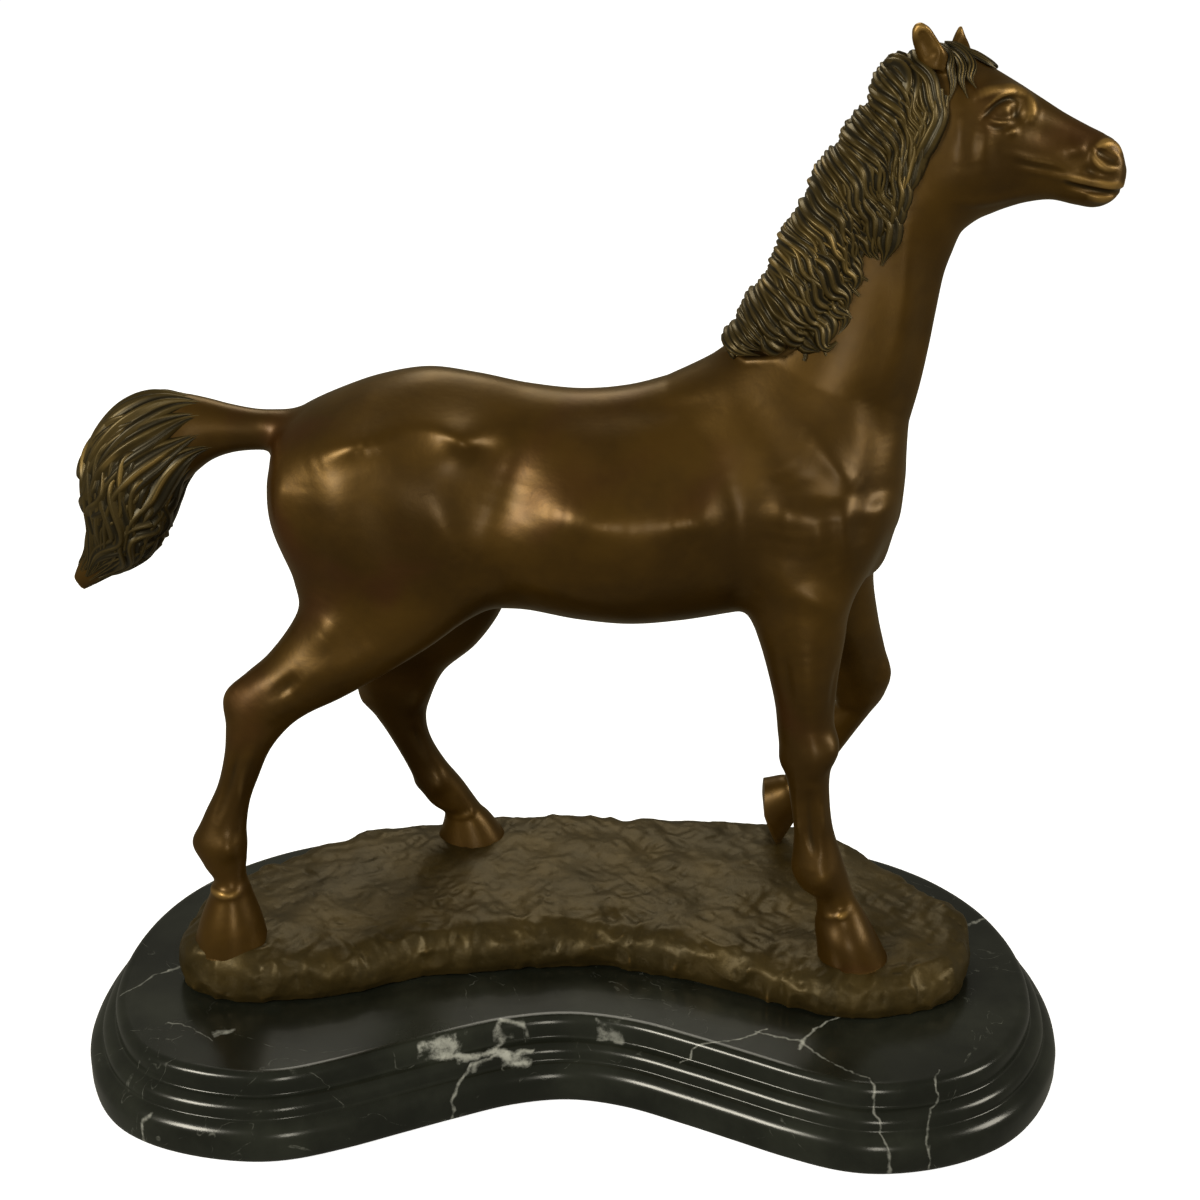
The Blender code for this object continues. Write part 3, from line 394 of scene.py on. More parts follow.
# ---------------------------------------------------------------- clay
class Clay:
    """A block of space that holds the distance to a skin at every point of a grid, negative inside it."""

    def __init__(self, low, high, step):
        self.step = step
        self.first = np.floor(np.array(low) / step).astype(int)
        shape = np.ceil(np.array(high) / step).astype(int) - self.first + 1
        self.field = np.full(shape, DEEP, np.float32)
        self.hair = np.full(shape, DEEP, np.float32)

    def window(self, low, high):
        """The part of the block between two corners: its slices, and the x, y and z of its points."""
        shape = self.field.shape
        start = np.clip(np.floor(np.array(low) / self.step).astype(int) - self.first, 0, shape)
        stop = np.clip(np.ceil(np.array(high) / self.step).astype(int) - self.first + 1, 0, shape)
        axes = []
        for k in range(3):
            values = (np.arange(start[k], stop[k]) + self.first[k]) * self.step
            axes.append(values.astype(np.float32).reshape([-1 if k == n else 1 for n in range(3)]))
        return tuple(slice(a, b) for a, b in zip(start, stop)), axes

    def join(self, points, triangles, quads, reach, hair=False):
        """Adds a closed body, blended into what is there over a reach."""
        grid = vdb.FloatGrid.createLevelSetFromPolygons(
            points.astype(np.float32), triangles=triangles.astype(np.uint32), quads=quads.astype(np.uint32),
            transform=vdb.createLinearTransform(voxelSize=self.step), halfWidth=DEEP / self.step,
        )
        body = np.full(self.field.shape, DEEP, np.float32)
        grid.copyToArray(body, ijk=tuple(int(v) for v in self.first))
        self.field = soft_min(self.field, body, reach)
        if hair:
            self.hair = np.minimum(self.hair, body)

    def add_loft(self, rows, reach, around=120, steps=14, hair=False):
        """Adds a body through elliptical sections."""
        path = smooth_path(rows, steps)
        x1, z1, x2, z2, y, half_width = path[:, :6].T[:, :, None]
        pear = path[:, 6:7] if path.shape[1] > 6 else 0.0
        angle = np.linspace(0, math.tau, around, endpoint=False)[None, :]
        along = np.cos(angle)
        points = np.stack([
            (x1 + x2) / 2 + (x1 - x2) / 2 * along,
            y + np.maximum(half_width, 0.3) * np.sin(angle) * (1 - pear * along),
            (z1 + z2) / 2 + (z1 - z2) / 2 * along,
        ], axis=2)
        rings = len(points)
        index = np.arange(rings * around).reshape(rings, around)
        turn = np.roll(index, -1, axis=1)
        quads = np.stack([index[:-1], turn[:-1], turn[1:], index[1:]], axis=2).reshape(-1, 4)
        tips = np.array([points[0].mean(0), points[-1].mean(0)])
        foot, head = rings * around, rings * around + 1
        fans = [(foot, b, a) for a, b in zip(index[0], turn[0])]
        fans += [(head, a, b) for a, b in zip(index[-1], turn[-1])]
        self.join(np.vstack([points.reshape(-1, 3), tips]), np.array(fans), quads, reach, hair)

    def swell(self, middle, reach, height):
        """Raises the skin round a point, or presses it in."""
        middle, reach = np.array(middle, float), np.array(reach, float) * np.ones(3)
        at, (x, y, z) = self.window(middle - SPREAD * reach, middle + SPREAD * reach)
        away = ((x - middle[0]) / reach[0]) ** 2 + ((y - middle[1]) / reach[1]) ** 2
        self.field[at] -= height * np.exp(-away - ((z - middle[2]) / reach[2]) ** 2)

    def stroke(self, path, reach, height, steps=4):
        """Raises or presses the skin along a path through space."""
        path = smooth_path(path, steps)
        at, _ = self.window(path.min(0) - SPREAD * reach, path.max(0) + SPREAD * reach)
        best = np.zeros(self.field[at].shape, np.float32)
        if best.size == 0:
            return
        for number, (a, b) in enumerate(zip(path, path[1:])):
            inner, axes = self.window(np.minimum(a, b) - SPREAD * reach, np.maximum(a, b) + SPREAD * reach)
            inner = tuple(slice(i.start - o.start, i.stop - o.start) for i, o in zip(inner, at))
            along = b - a
            t = sum((axis - start) * run for axis, start, run in zip(axes, a, along))
            t = np.clip(t / max(along @ along, 1e-9), 0, 1)
            away = sum((axis - start - t * run) ** 2 for axis, start, run in zip(axes, a, along))
            fade = np.sin(np.pi * np.clip((number + t) / (len(path) - 1) * 0.86 + 0.07, 0, 1))
            best[inner] = np.maximum(best[inner], np.exp(-away / reach**2) * fade)
        self.field[at] -= height * best

    def side_stroke(self, path, reach, height):
        """Raises or presses both sides of the horse along a path of (x, z)."""
        path = smooth_path(path, 4)
        low, high = path.min(0) - SPREAD * reach, path.max(0) + SPREAD * reach
        at, (x, y, z) = self.window((low[0], MID - HALF_ROOM, low[1]), (high[0], MID + HALF_ROOM, high[1]))
        if self.field[at].size == 0:
            return
        best = np.zeros((x.size, 1, z.size), np.float32)
        for number, (a, b) in enumerate(zip(path, path[1:])):
            along = b - a
            t = np.clip(((x - a[0]) * along[0] + (z - a[1]) * along[1]) / max(along @ along, 1e-9), 0, 1)
            away = (x - a[0] - t * along[0]) ** 2 + (z - a[1] - t * along[1]) ** 2
            fade = np.sin(np.pi * np.clip((number + t) / (len(path) - 1) * 0.8 + 0.1, 0, 1))
            best = np.maximum(best, np.exp(-away / reach**2) * fade)
        self.field[at] -= height * best * step_up(np.abs(y - MID), 1.5, 7.0)

    def side_skin(self, path, side):
        """The points (x, y, z) where lines across the horse first meet its skin, coming from one side."""
        path = np.array(path, float)
        reach = np.arange(60.0, -60.0, -self.step / 2)
        found = []
        for x, z in path:
            line = np.stack([np.full(reach.size, x), MID + side * reach, np.full(reach.size, z)], axis=1)
            line = line[(line[:, 1] / self.step >= self.first[1])]
            line = line[(line[:, 1] / self.step <= self.first[1] + self.field.shape[1] - 1)]
            values = self.sample(self.field, line)
            hits = np.nonzero(values < 0)[0]
            spot = hits[0] if hits.size else int(values.argmin())
            if hits.size and spot > 0:
                before, after = values[spot - 1], values[spot]
                share = before / (before - after)
                y = line[spot - 1, 1] + share * (line[spot, 1] - line[spot - 1, 1])
            else:
                y = line[spot, 1]
            found.append((x, y, z))
        return np.array(found)

    def holds(self, path, margin):
        """Whether any of these (x, z) lies within the block."""
        low = self.first * self.step - margin
        high = (self.first + np.array(self.field.shape)) * self.step + margin
        return any(low[0] < x < high[0] and low[2] < z < high[2] for x, z in path)

    def face_stroke(self, path, reach, height, sides=(NEAR, OFF)):
        """Raises or presses the skin itself along a path of (x, z), on one or both sides."""
        if not self.holds(path, -2.0):
            return
        path = smooth_path(path, 3) if len(path) > 1 else np.array(path, float)
        for side in sides:
            skin = self.side_skin(path, side)
            if len(skin) == 1:
                self.swell(skin[0], reach, height)
            else:
                self.stroke(skin, reach, height, steps=1)

    def softened(self, reach):
        """The distances averaged over boxes of about the given reach."""
        count = max(1, int(round(reach / self.step)))
        made = self.field
        for axis in range(3):
            padded = np.pad(made, [(count, count) if k == axis else (0, 0) for k in range(3)], mode="edge")
            total = np.cumsum(padded, axis=axis, dtype=np.float64)
            total = np.concatenate([np.zeros_like(np.take(total, [0], axis=axis)), total], axis=axis)
            wide = 2 * count + 1
            size = made.shape[axis]
            upper = np.take(total, np.arange(wide, wide + size), axis=axis)
            made = ((upper - np.take(total, np.arange(size), axis=axis)) / wide).astype(np.float32)
        return made

    def sample(self, field, points):
        """The values of a field at points, smoothly between the points of the grid."""
        at = points / self.step - self.first
        at = np.clip(at, 0, np.array(field.shape) - 1.001)
        whole = at.astype(int)
        t = (at - whole).astype(np.float32)
        made = 0
        for corner in range(8):
            bits = np.array([corner & 1, corner >> 1 & 1, corner >> 2 & 1])
            share = np.prod(np.where(bits, t, 1 - t), axis=1)
            i, j, k = (whole + bits).T
            made = made + field[i, j, k] * share
        return made

    def onto_skin(self, points):
        """The points moved onto the skin along its normals, and those normals."""
        points = np.array(points, float)
        for _ in range(4):
            points -= self.normals(points) * self.sample(self.field, points)[:, None]
        return points, self.normals(points)

    def normals(self, points):
        """The way out of the skin at points."""
        made = []
        for axis in range(3):
            ahead = points.copy()
            back = points.copy()
            ahead[:, axis] += self.step
            back[:, axis] -= self.step
            made.append(self.sample(self.field, ahead) - self.sample(self.field, back))
        made = np.stack(made, axis=1)
        return made / np.maximum(np.linalg.norm(made, axis=1, keepdims=True), 1e-9)

    def skin(self):
        """The points and quads of the skin."""
        grid = vdb.FloatGrid()
        grid.copyFromArray(self.field, ijk=tuple(int(v) for v in self.first))
        grid.transform = vdb.createLinearTransform(voxelSize=self.step)
        points, quads = grid.convertToQuads(isovalue=0.0)
        return np.array(points, np.float64), np.array(quads, np.int64)


def biggest_shell(points, quads):
    """Only the largest connected shell of a skin."""
    label = np.arange(len(points))
    while True:
        lowest = label[quads].min(axis=1)
        after = label.copy()
        for column in range(4):
            np.minimum.at(after, quads[:, column], lowest)
        after = after[after]
        if np.array_equal(after, label):
            break
        label = after
    names, counts = np.unique(label[quads[:, 0]], return_counts=True)
    kept = quads[label[quads[:, 0]] == names[counts.argmax()]]
    used, index = np.unique(kept, return_inverse=True)
    return points[used], index.reshape(kept.shape)


# ---------------------------------------------------------------- pieces
def add_piece(name, mesh, material, replaced):
    mesh.materials.clear()
    mesh.materials.append(material)
    made = bpy.data.objects.new(name, mesh)
    bpy.context.scene.collection.objects.link(made)
    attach(made, "root")
    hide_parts(*replaced)
    return made


def set_value(mesh, name, values):
    attribute = mesh.attributes.get(name) or mesh.attributes.new(name, "FLOAT", "POINT")
    attribute.data.foreach_set("value", np.asarray(values, np.float32))


def mesh_points(mesh):
    """A mesh's points in model millimetres."""
    points = np.empty(len(mesh.vertices) * 3, np.float32)
    mesh.vertices.foreach_get("co", points)
    return points.reshape(-1, 3).astype(np.float64) / MM - (0, 0, LIFT)


# Middles of the ears, which are thin all through, so that their relief says little
EARS = [(103, -1, 326), (112.5, 13.5, 325)]

# Where handling has rubbed the patina through to the metal, on the muzzle, brow, ears and hooves, and two
# spots of painted highlight, on a fetlock at (81, 74) and on the hock at (-108, 128): (x, z), reach, share
RUBBED_AND_PAINTED_HIGHLIGHT_SPOTS = [
    ((120, 313.2), 4, 0.7), ((127, 313.4), 4, 0.9), ((132, 309), 3.2, 0.8), ((154.5, 298), 3, 0.9),
    ((159.5, 296), 3, 0.9), ((152, 292.5), 2.4, 0.6), ((147, 288.5), 4, 0.5), ((156, 286.8), 4, 0.9),
    ((162, 285.4), 3.4, 1.0),
    ((155, 282.4), 3.4, 0.6), ((98.4, 331), 2.6, 1.0), ((105, 327), 2.4, 0.8), ((112.6, 328.6), 2, 0.8),
    ((-112, 62.6), 5, 0.5), ((-102, 48), 5, 0.4), ((86, 58), 5, 0.6), ((92, 47), 5, 0.5),
    ((-44, 56), 5, 0.4),
    ((76, 66), 4, 0.4), ((81, 74), 4, 0.3), ((-108, 128), 4, 0.3),
]


def dress_skin(mesh, clay, flat_faces=()):
    """Gives a clay skin its exact normals, and what its finish follows: relief, above 0 on ridges and below
    in folds, where the finish paints shade in the folds and gold of rubbed metal and painted highlight on
    the ridges; rubbed wear, with two spots of painted highlight; and how near it is to the bed of the mane,
    where the finish paints shade."""
    points = mesh_points(mesh)
    fine = clay.softened(1.2) - clay.field
    relief = clay.sample(fine, points)
    for ear in EARS:
        relief *= 1 - 0.85 * np.exp(-((points - ear) ** 2).sum(axis=1) / 6.0**2)
    set_value(mesh, "relief", relief)
    wear_and_painted_light = np.zeros(len(points))
    for (x, z), reach, share in RUBBED_AND_PAINTED_HIGHLIGHT_SPOTS:
        away = (points[:, 0] - x) ** 2 + (points[:, 2] - z) ** 2
        wear_and_painted_light = np.maximum(wear_and_painted_light, share * np.exp(-away / reach**2))
    set_value(mesh, "wear_and_painted_light", wear_and_painted_light)
    # Near the bed of the mane, where the finish paints shade
    set_value(mesh, "painted_shade_under_mane", 1 - step_up(clay.sample(clay.hair, points), 0.2, 1.4))
    normals = clay.normals(points)
    loops = np.empty(len(mesh.loops), np.int32)
    mesh.loops.foreach_get("vertex_index", loops)
    made = normals[loops]
    for polygon in mesh.polygons:
        polygon.use_smooth = True
    for number in flat_faces:
        polygon = mesh.polygons[number]
        made[polygon.loop_start:polygon.loop_start + polygon.loop_total] = polygon.normal
    mesh.normals_split_custom_set([tuple(n) for n in made])


# Planes that part the castings: each zone is the room inside all of its planes (point, way out)
def box_planes(low, high):
    planes = []
    for axis in range(3):
        way = [0.0, 0.0, 0.0]
        way[axis] = 1.0
        planes.append((high, tuple(way)))
        way[axis] = -1.0
        planes.append((low, tuple(way)))
    return planes


ZONES = {
    "neck_and_head_casting": [((72.0, MID, 219.6), (-0.43, 0.0, -0.903))],
    "tail_casting": box_planes((-200, -40, 130), (-95.5, 50, 260)),
    "near_hind_leg_casting": box_planes((-140, -70, 10), (-26, MID, 172))
    + [((-58.0, MID, 160.0), (0.297, 0.0, 0.955))],
    "off_hind_leg_casting": box_planes((-140, MID, 10), (-24.5, 90, 172))
    + [((-58.0, MID, 160.6), (0.31, 0.0, 0.951))],
    "near_fore_leg_casting": box_planes((54, -70, 10), (130, -2, 153)),
    "off_fore_leg_casting": box_planes((65, 14, 10), (130, 90, 153)),
}


def model_horse(clay):
    """Builds the whole horse in a block of clay. What lies outside the block costs nothing."""
    for rows, blend in BODIES:
        clay.add_loft(rows, blend)
    clay.add_loft(MANE_BED, 3, hair=True)
    for middle, height in CREST_TUFTS:
        clay.swell((middle[0], MID, middle[1]), TUFT_REACH, height)
    for middle, reach, height in MASSES:
        clay.swell(middle, reach, height)
    for path, reach, height in SIDE_FORMS:
        clay.side_stroke(path, reach, height)
    for path, reach, height in LIMB_FORMS:
        clay.stroke(path, reach, height)
    for rows in (NEAR_EAR, FAR_EAR):
        clay.add_loft(rows, 2.4, around=64)
    model_face(clay)


def model_face(clay):
    """Eyes, cheeks, nostrils and mouth, alike on both sides, and the ears, pressed from the near side."""
    for path, reach, height in FACE_FORMS:
        clay.face_stroke(path, reach, height)
    for path, reach, height in EAR_FORMS:
        clay.face_stroke(path, reach, height, sides=(NEAR,))


def bmesh_of(points, quads):
    mesh = bpy.data.meshes.new("skin")
    mesh.from_pydata([(x * MM, y * MM, (z + LIFT) * MM) for x, y, z in points], [], quads.tolist())
    bm = bmesh.new()
    bm.from_mesh(mesh)
    bpy.data.meshes.remove(mesh)
    return bm


def metres(point):
    return Vector((point[0] * MM, point[1] * MM, (point[2] + LIFT) * MM))


def keep_zone(bm, planes):
    """Cuts away what lies outside the planes and closes the cuts."""
    for point, way in planes:
        geometry = bm.verts[:] + bm.edges[:] + bm.faces[:]
        cut = bmesh.ops.bisect_plane(
            bm, geom=geometry, dist=1e-8, plane_co=metres(point), plane_no=Vector(way), clear_outer=True,
        )
        rim = [item for item in cut["geom_cut"] if isinstance(item, bmesh.types.BMEdge)]
        if rim:
            filled = bmesh.ops.triangle_fill(bm, use_beauty=False, use_dissolve=False, edges=rim)
            for item in filled["geom"]:
                if isinstance(item, bmesh.types.BMFace):
                    item.material_index = 1


def clear_zone(bm, planes):
    """Cuts away what lies inside all the planes and closes the hole."""
    inside = [Vector(way).normalized() for _, way in planes]
    spots = [metres(point) for point, _ in planes]
    margin = 2 * MM
    for spot, way in zip(spots, inside):
        near = [
            f for f in bm.faces
            if all((f.calc_center_median() - s) @ w < margin for s, w in zip(spots, inside))
        ]
        edges = {e for f in near for e in f.edges}
        verts = {v for f in near for v in f.verts}
        bmesh.ops.bisect_plane(
            bm, geom=list(verts) + list(edges) + near, dist=1e-8, plane_co=spot, plane_no=way,
        )
    gone = [
        f for f in bm.faces
        if all((f.calc_center_median() - s) @ w < 1e-7 for s, w in zip(spots, inside))
    ]
    rims = {e for f in gone for e in f.edges}
    bmesh.ops.delete(bm, geom=gone, context="FACES")
    rim = [e for e in rims if e.is_valid and e.is_boundary]
    filled = bmesh.ops.holes_fill(bm, edges=rim, sides=0)
    made = bmesh.ops.triangulate(bm, faces=filled["faces"])
    for face in made["faces"]:
        face.material_index = 1


def finish_casting(name, bm, clay, material):
    loose = [v for v in bm.verts if not v.link_faces]
    bmesh.ops.delete(bm, geom=loose, context="VERTS")
    mesh = bpy.data.meshes.new(name + "_skin")
    bm.to_mesh(mesh)
    bm.free()
    caps = [p.index for p in mesh.polygons if p.material_index == 1]
    dress_skin(mesh, clay, caps)
    for polygon in mesh.polygons:
        polygon.material_index = 0
    return add_piece(name.replace("_casting", "_skin"), mesh, material, [name])


CLAY_BLOCKS = {
    "torso_casting": ((-104, -45, 128), (112, 60, 240), 0.8),
    "neck_and_head_casting": ((34, -24, 198), (168, 30, 338), 0.52),
    "tail_casting": ((-168, -16, 146), (-88, 26, 228), 0.6),
    "near_hind_leg_casting": ((-132, -46, 34), (-18, 12, 182), 0.6),
    "off_hind_leg_casting": ((-96, 2, 34), (-18, 58, 182), 0.6),
    "near_fore_leg_casting": ((46, -44, 34), (112, 4, 160), 0.6),
    "off_fore_leg_casting": ((58, 8, 38), (116, 56, 160), 0.6),
}


def build_horse(bronze):
    clays = {}
    for name, (low, high, step) in CLAY_BLOCKS.items():
        clay = Clay(low, high, step * (1))
        model_horse(clay)
        bm = bmesh_of(*biggest_shell(*clay.skin()))
        if name == "torso_casting":
            for planes in ZONES.values():
                clear_zone(bm, planes)
        else:
            keep_zone(bm, ZONES[name])
        finish_casting(name, bm, clay, bronze)
        clays[name] = clay
    return clays


# ---------------------------------------------------------------- hair
def lock_nodes(material):
    """The node tree that sweeps a ridged lock of hair along every path of a mesh of edges."""
    tree = bpy.data.node_groups.new("hair_lock_sweep", "GeometryNodeTree")
    face = tree.interface
    face.new_socket("Geometry", in_out="INPUT", socket_type="NodeSocketGeometry")
    inputs = {"Ring spacing": 0.0011, "Strands": 3.0, "Thickness": 0.55, "Strand depth": 0.24}
    for name, default in inputs.items():
        face.new_socket(name, in_out="INPUT", socket_type="NodeSocketFloat").default_value = default
    face.new_socket("Geometry", in_out="OUTPUT", socket_type="NodeSocketGeometry")

    def add(kind, links=(), **settings):
        made = tree.nodes.new(kind)
        for key, value in settings.items():
            setattr(made, key, value)
        for socket, value in links:
            if isinstance(value, bpy.types.NodeSocket):
                tree.links.new(value, made.inputs[socket])
            else:
                made.inputs[socket].default_value = value
        return made

    def calc(operation, a, b=0.0):
        return add("ShaderNodeMath", ((0, a), (1, b)), operation=operation).outputs[0]

    def named(name, kind):
        return add("GeometryNodeInputNamedAttribute", (("Name", name),), data_type=kind).outputs[0]

    given = add("NodeGroupInput").outputs
    curves = add("GeometryNodeMeshToCurve", (("Mesh", given["Geometry"]),)).outputs[0]
    curves = add(
        "GeometryNodeResampleCurve", (("Curve", curves), ("Length", given["Ring spacing"])), mode="LENGTH",
    ).outputs[0]
    outward = named("outward", "FLOAT_VECTOR")
    curves = add(
        "GeometryNodeSetCurveNormal", (("Curve", curves), ("Normal", outward)), mode="FREE",
    ).outputs[0]

    ring = add("GeometryNodeCurvePrimitiveCircle", (("Resolution", 36), ("Radius", 1.0))).outputs[0]
    turn = calc("MULTIPLY", add("GeometryNodeSplineParameter").outputs["Factor"], math.tau)
    # More of the points on the outer half, which shows
    turn = calc("ADD", turn, calc("MULTIPLY", calc("COSINE", turn), 0.45))
    across, up = calc("COSINE", turn), calc("SINE", turn)
    ridge = calc("COSINE", calc("MULTIPLY", across, calc("MULTIPLY", given["Strands"], math.pi)))
    outer = calc("MAXIMUM", up, 0.0)
    crown = calc("MULTIPLY", outer, calc("ADD", 1.0, calc("MULTIPLY", ridge, given["Strand depth"])))
    height = calc("ADD", crown, calc("MULTIPLY", calc("MINIMUM", up, 0.0), 0.7))
    height = calc("MULTIPLY", height, given["Thickness"])
    place = add("ShaderNodeCombineXYZ", (("X", height), ("Y", across)))
    ring = add("GeometryNodeSetPosition", (("Geometry", ring), ("Position", place.outputs[0]))).outputs[0]
    # Stored as ridge: high on the crest of each strand, low in its grooves, at the lock's sides and
    # underneath. The hair finish paints shade where it is low, and gold of rubbed metal and painted glint
    # where it is high.
    from_middle = calc("MULTIPLY", calc("ABSOLUTE", across), 0.9)
    wear_and_painted_light = calc("SUBTRACT", calc("MULTIPLY", ridge, outer), from_middle)
    ring = add(
        "GeometryNodeStoreNamedAttribute", (("Geometry", ring), ("Name", "ridge"), ("Value", wear_and_painted_light)),
        data_type="FLOAT", domain="POINT",
    ).outputs[0]

    width = named("width", "FLOAT")
    swept = add(
        "GeometryNodeCurveToMesh",
        (("Curve", curves), ("Profile Curve", ring), ("Scale", width), ("Fill Caps", True)),
    ).outputs[0]
    swept = add("GeometryNodeSetShadeSmooth", (("Geometry", swept),)).outputs[0]
    swept = add("GeometryNodeRealizeInstances", (("Geometry", swept),)).outputs[0]
    swept = add("GeometryNodeSetMaterial", (("Geometry", swept), ("Material", material))).outputs[0]
    add("NodeGroupOutput", (("Geometry", swept),))
    return tree


def sweep_locks(name, locks, material, replaced, **settings):
    """One piece of hair from locks of (path, way out of the skin, half width)."""
    points, edges, outward, widths = [], [], [], []
    for path, out, width in locks:
        first = len(points)
        points += [tuple(metres(p)) for p in path]
        edges += [(n, n + 1) for n in range(first, first + len(path) - 1)]
        outward += list(out)
        widths += list(np.asarray(width) * MM)
    paths = bpy.data.meshes.new(name + "_paths")
    paths.from_pydata(points, edges, [])
    set_value(paths, "width", widths)
    attribute = paths.attributes.new("outward", "FLOAT_VECTOR", "POINT")
    attribute.data.foreach_set("vector", np.array(outward, np.float32).ravel())
    guide = bpy.data.objects.new(name + "_paths", paths)
    bpy.context.scene.collection.objects.link(guide)
    modifier = guide.modifiers.new("sweep", "NODES")
    modifier.node_group = lock_nodes(material)
    for item in modifier.node_group.interface.items_tree:
        if item.in_out == "INPUT" and item.name in settings:
            modifier[item.identifier] = settings[item.name]
    graph = bpy.context.evaluated_depsgraph_get()
    mesh = bpy.data.meshes.new_from_object(guide.evaluated_get(graph), depsgraph=graph)
    bpy.data.objects.remove(guide, do_unlink=True)
    for spare in ("outward", "width"):
        if spare in mesh.attributes:
            mesh.attributes.remove(mesh.attributes[spare])
    return add_piece(name, mesh, material, replaced)


def taper(count, width, start=0.5, tip=0.12, full_from=0.25, full_to=0.6):
    """Half widths along a lock, full in its middle and fine at its tip."""
    t = np.linspace(0, 1, count)
    rise = start + (1 - start) * step_up(t, 0, full_from)
    return width * rise * (1 - (1 - tip) * step_up(t, full_to, 1.0))


def evened(values, rounds=2):
    """Rows of numbers evened out along a path."""
    for _ in range(rounds):
        values = np.vstack([values[:1], (values[:-2] + values[1:-1] + values[2:]) / 3, values[-1:]])
    return values


# Front and lower limit of the mane on the neck: (x, z) from the poll down
MANE_EDGE = [
    (105.5, 330), (105.2, 313), (100.5, 303), (96.5, 293), (94.4, 287), (93, 277.5), (89.4, 265),
    (86, 257.5),
    (81.5, 248), (79.5, 243.5), (76, 239.5),
]
MANE_FOOT = 236.5


def hanging_lock(clay, start, side, heading, turn, length, wave, swing, phase, curl, width, lift, over):
    """A wavy lock that hangs down one side of the neck, and may come from over its crest. Angles are in
    radians below the way to the head."""
    count = max(12, int(length / 0.9))
    t = np.linspace(0, 1, count)
    angle = heading + turn * t + swing * (0.5 + 0.5 * t) * np.sin(math.tau * length * t / wave + phase)
    angle = angle + curl * step_up(t, 0.72, 1.0)
    run = length / count
    x = start[0] + np.cumsum(np.cos(angle)) * run
    z = start[1] - np.cumsum(np.sin(angle)) * run
    edge_x, edge_z = np.array(MANE_EDGE).T
    past = x - np.interp(z, edge_z[::-1], edge_x[::-1])
    x = np.where(past > 0, x - past + 2.2 * np.tanh(past / 4), x)
    kept = z > MANE_FOOT + 2.5 * math.sin(phase)
    if kept.sum() < 6:
        return None
    path = clay.side_skin(np.stack([x, z], axis=1)[kept], side)
    if over:
        top = crest_top(clay, start)
        away = np.array((0.0, -side * over, 0.0))
        over_crest = [top + away + (2, 0, -3), top + away * 0.4, top, path[0]]
        path = np.vstack([smooth_path(over_crest, 6), path[1:]])
    path, out = clay.onto_skin(evened(path, 3))
    out = evened(out, 4)
    rise = lift * np.linspace(1, 0.6, len(path))
    return evened(path + out * rise[:, None], 1), out, taper(len(path), width)


CREST = [
    (98.5, 318.5), (94, 313.5), (91.5, 308), (87, 300.5), (81, 294), (75.5, 287.5), (67, 280.5),
    (62.5, 272.5),
    (61, 265), (58, 257.5), (53, 250), (50, 242), (45.5, 237),
]

# Layers of each piece of the mane, the lowest first: share of the crest that it runs from and to, number of
# locks, how far in from the crest, length, half width, height over the skin, side, how far over the crest
MANE_LAYERS = {
    "mane_under_locks": [
        (0.02, 1.0, 22, 9.0, 25, 3.5, 0.0, NEAR, 0), (0.05, 0.97, 16, 13.0, 16, 2.6, 0.5, NEAR, 0),
        (0.02, 0.95, 16, 6.0, 26, 3.2, 1.1, NEAR, 0),
    ],
    "mane_over_locks": [
        (0.0, 0.99, 27, 1.0, 30, 3.7, 0.5, NEAR, 9), (0.0, 0.96, 17, 3.0, 23, 2.8, 1.7, NEAR, 5),
    ],
    "mane_far_locks": [(0.0, 1.0, 27, 2.0, 17, 3.4, 0.3, OFF, 4)],
}


def crest_top(clay, start):
    """Where the skin ends on the way out from a place on the crest."""
    reach = np.arange(-5.0, 9.0, 0.25)[:, None]
    line = np.array((start[0], 3.0, start[1])) + reach * (-0.68, 0.0, 0.73)
    inside = np.nonzero(clay.sample(clay.field, line) < 0)[0]
    return line[inside.max()] if inside.size else line[20]


def mane_locks(clay, layers):
    rng = np.random.default_rng(11)
    crest = smooth_path(CREST, 10)
    locks = []
    for low, high, number, inwards, length, width, lift, side, over in layers:
        for share in low + (high - low) * np.linspace(1, 0, number) ** 1.15:
            at = crest[int(share * (len(crest) - 1))]
            start = (at[0] + inwards + rng.uniform(-1, 1), at[1] - 0.35 * inwards + rng.uniform(-1.2, 1.2))
            locks.append(hanging_lock(
                clay, start, side, heading=1.2 - 0.45 * share + rng.uniform(-0.12, 0.12),
                turn=rng.uniform(0.05, 0.3), length=length * rng.uniform(0.8, 1.12),
                wave=rng.uniform(12, 15.5), swing=rng.uniform(0.75, 1.1),
                phase=share * 16 + rng.uniform(-0.5, 0.5), curl=rng.choice([-1.1, 0.9, 0.3]),
                width=width * rng.uniform(0.75, 1.25), lift=lift + rng.uniform(-0.3, 0.6), over=over,
            ))
    return [lock for lock in locks if lock]


# Layers of the tail hair: number of locks, sections of the tail that they start and end near, height as a
# share of the tail's own, width as a share of the room, waviness in radians
TAIL_LAYERS = [
    (12, 3.6, 13.0, 0.95, 0.86, 0.12), (12, 5.2, 13.0, 0.99, 0.70, 0.22), (8, 7.0, 13.0, 1.03, 0.55, 0.28),
]


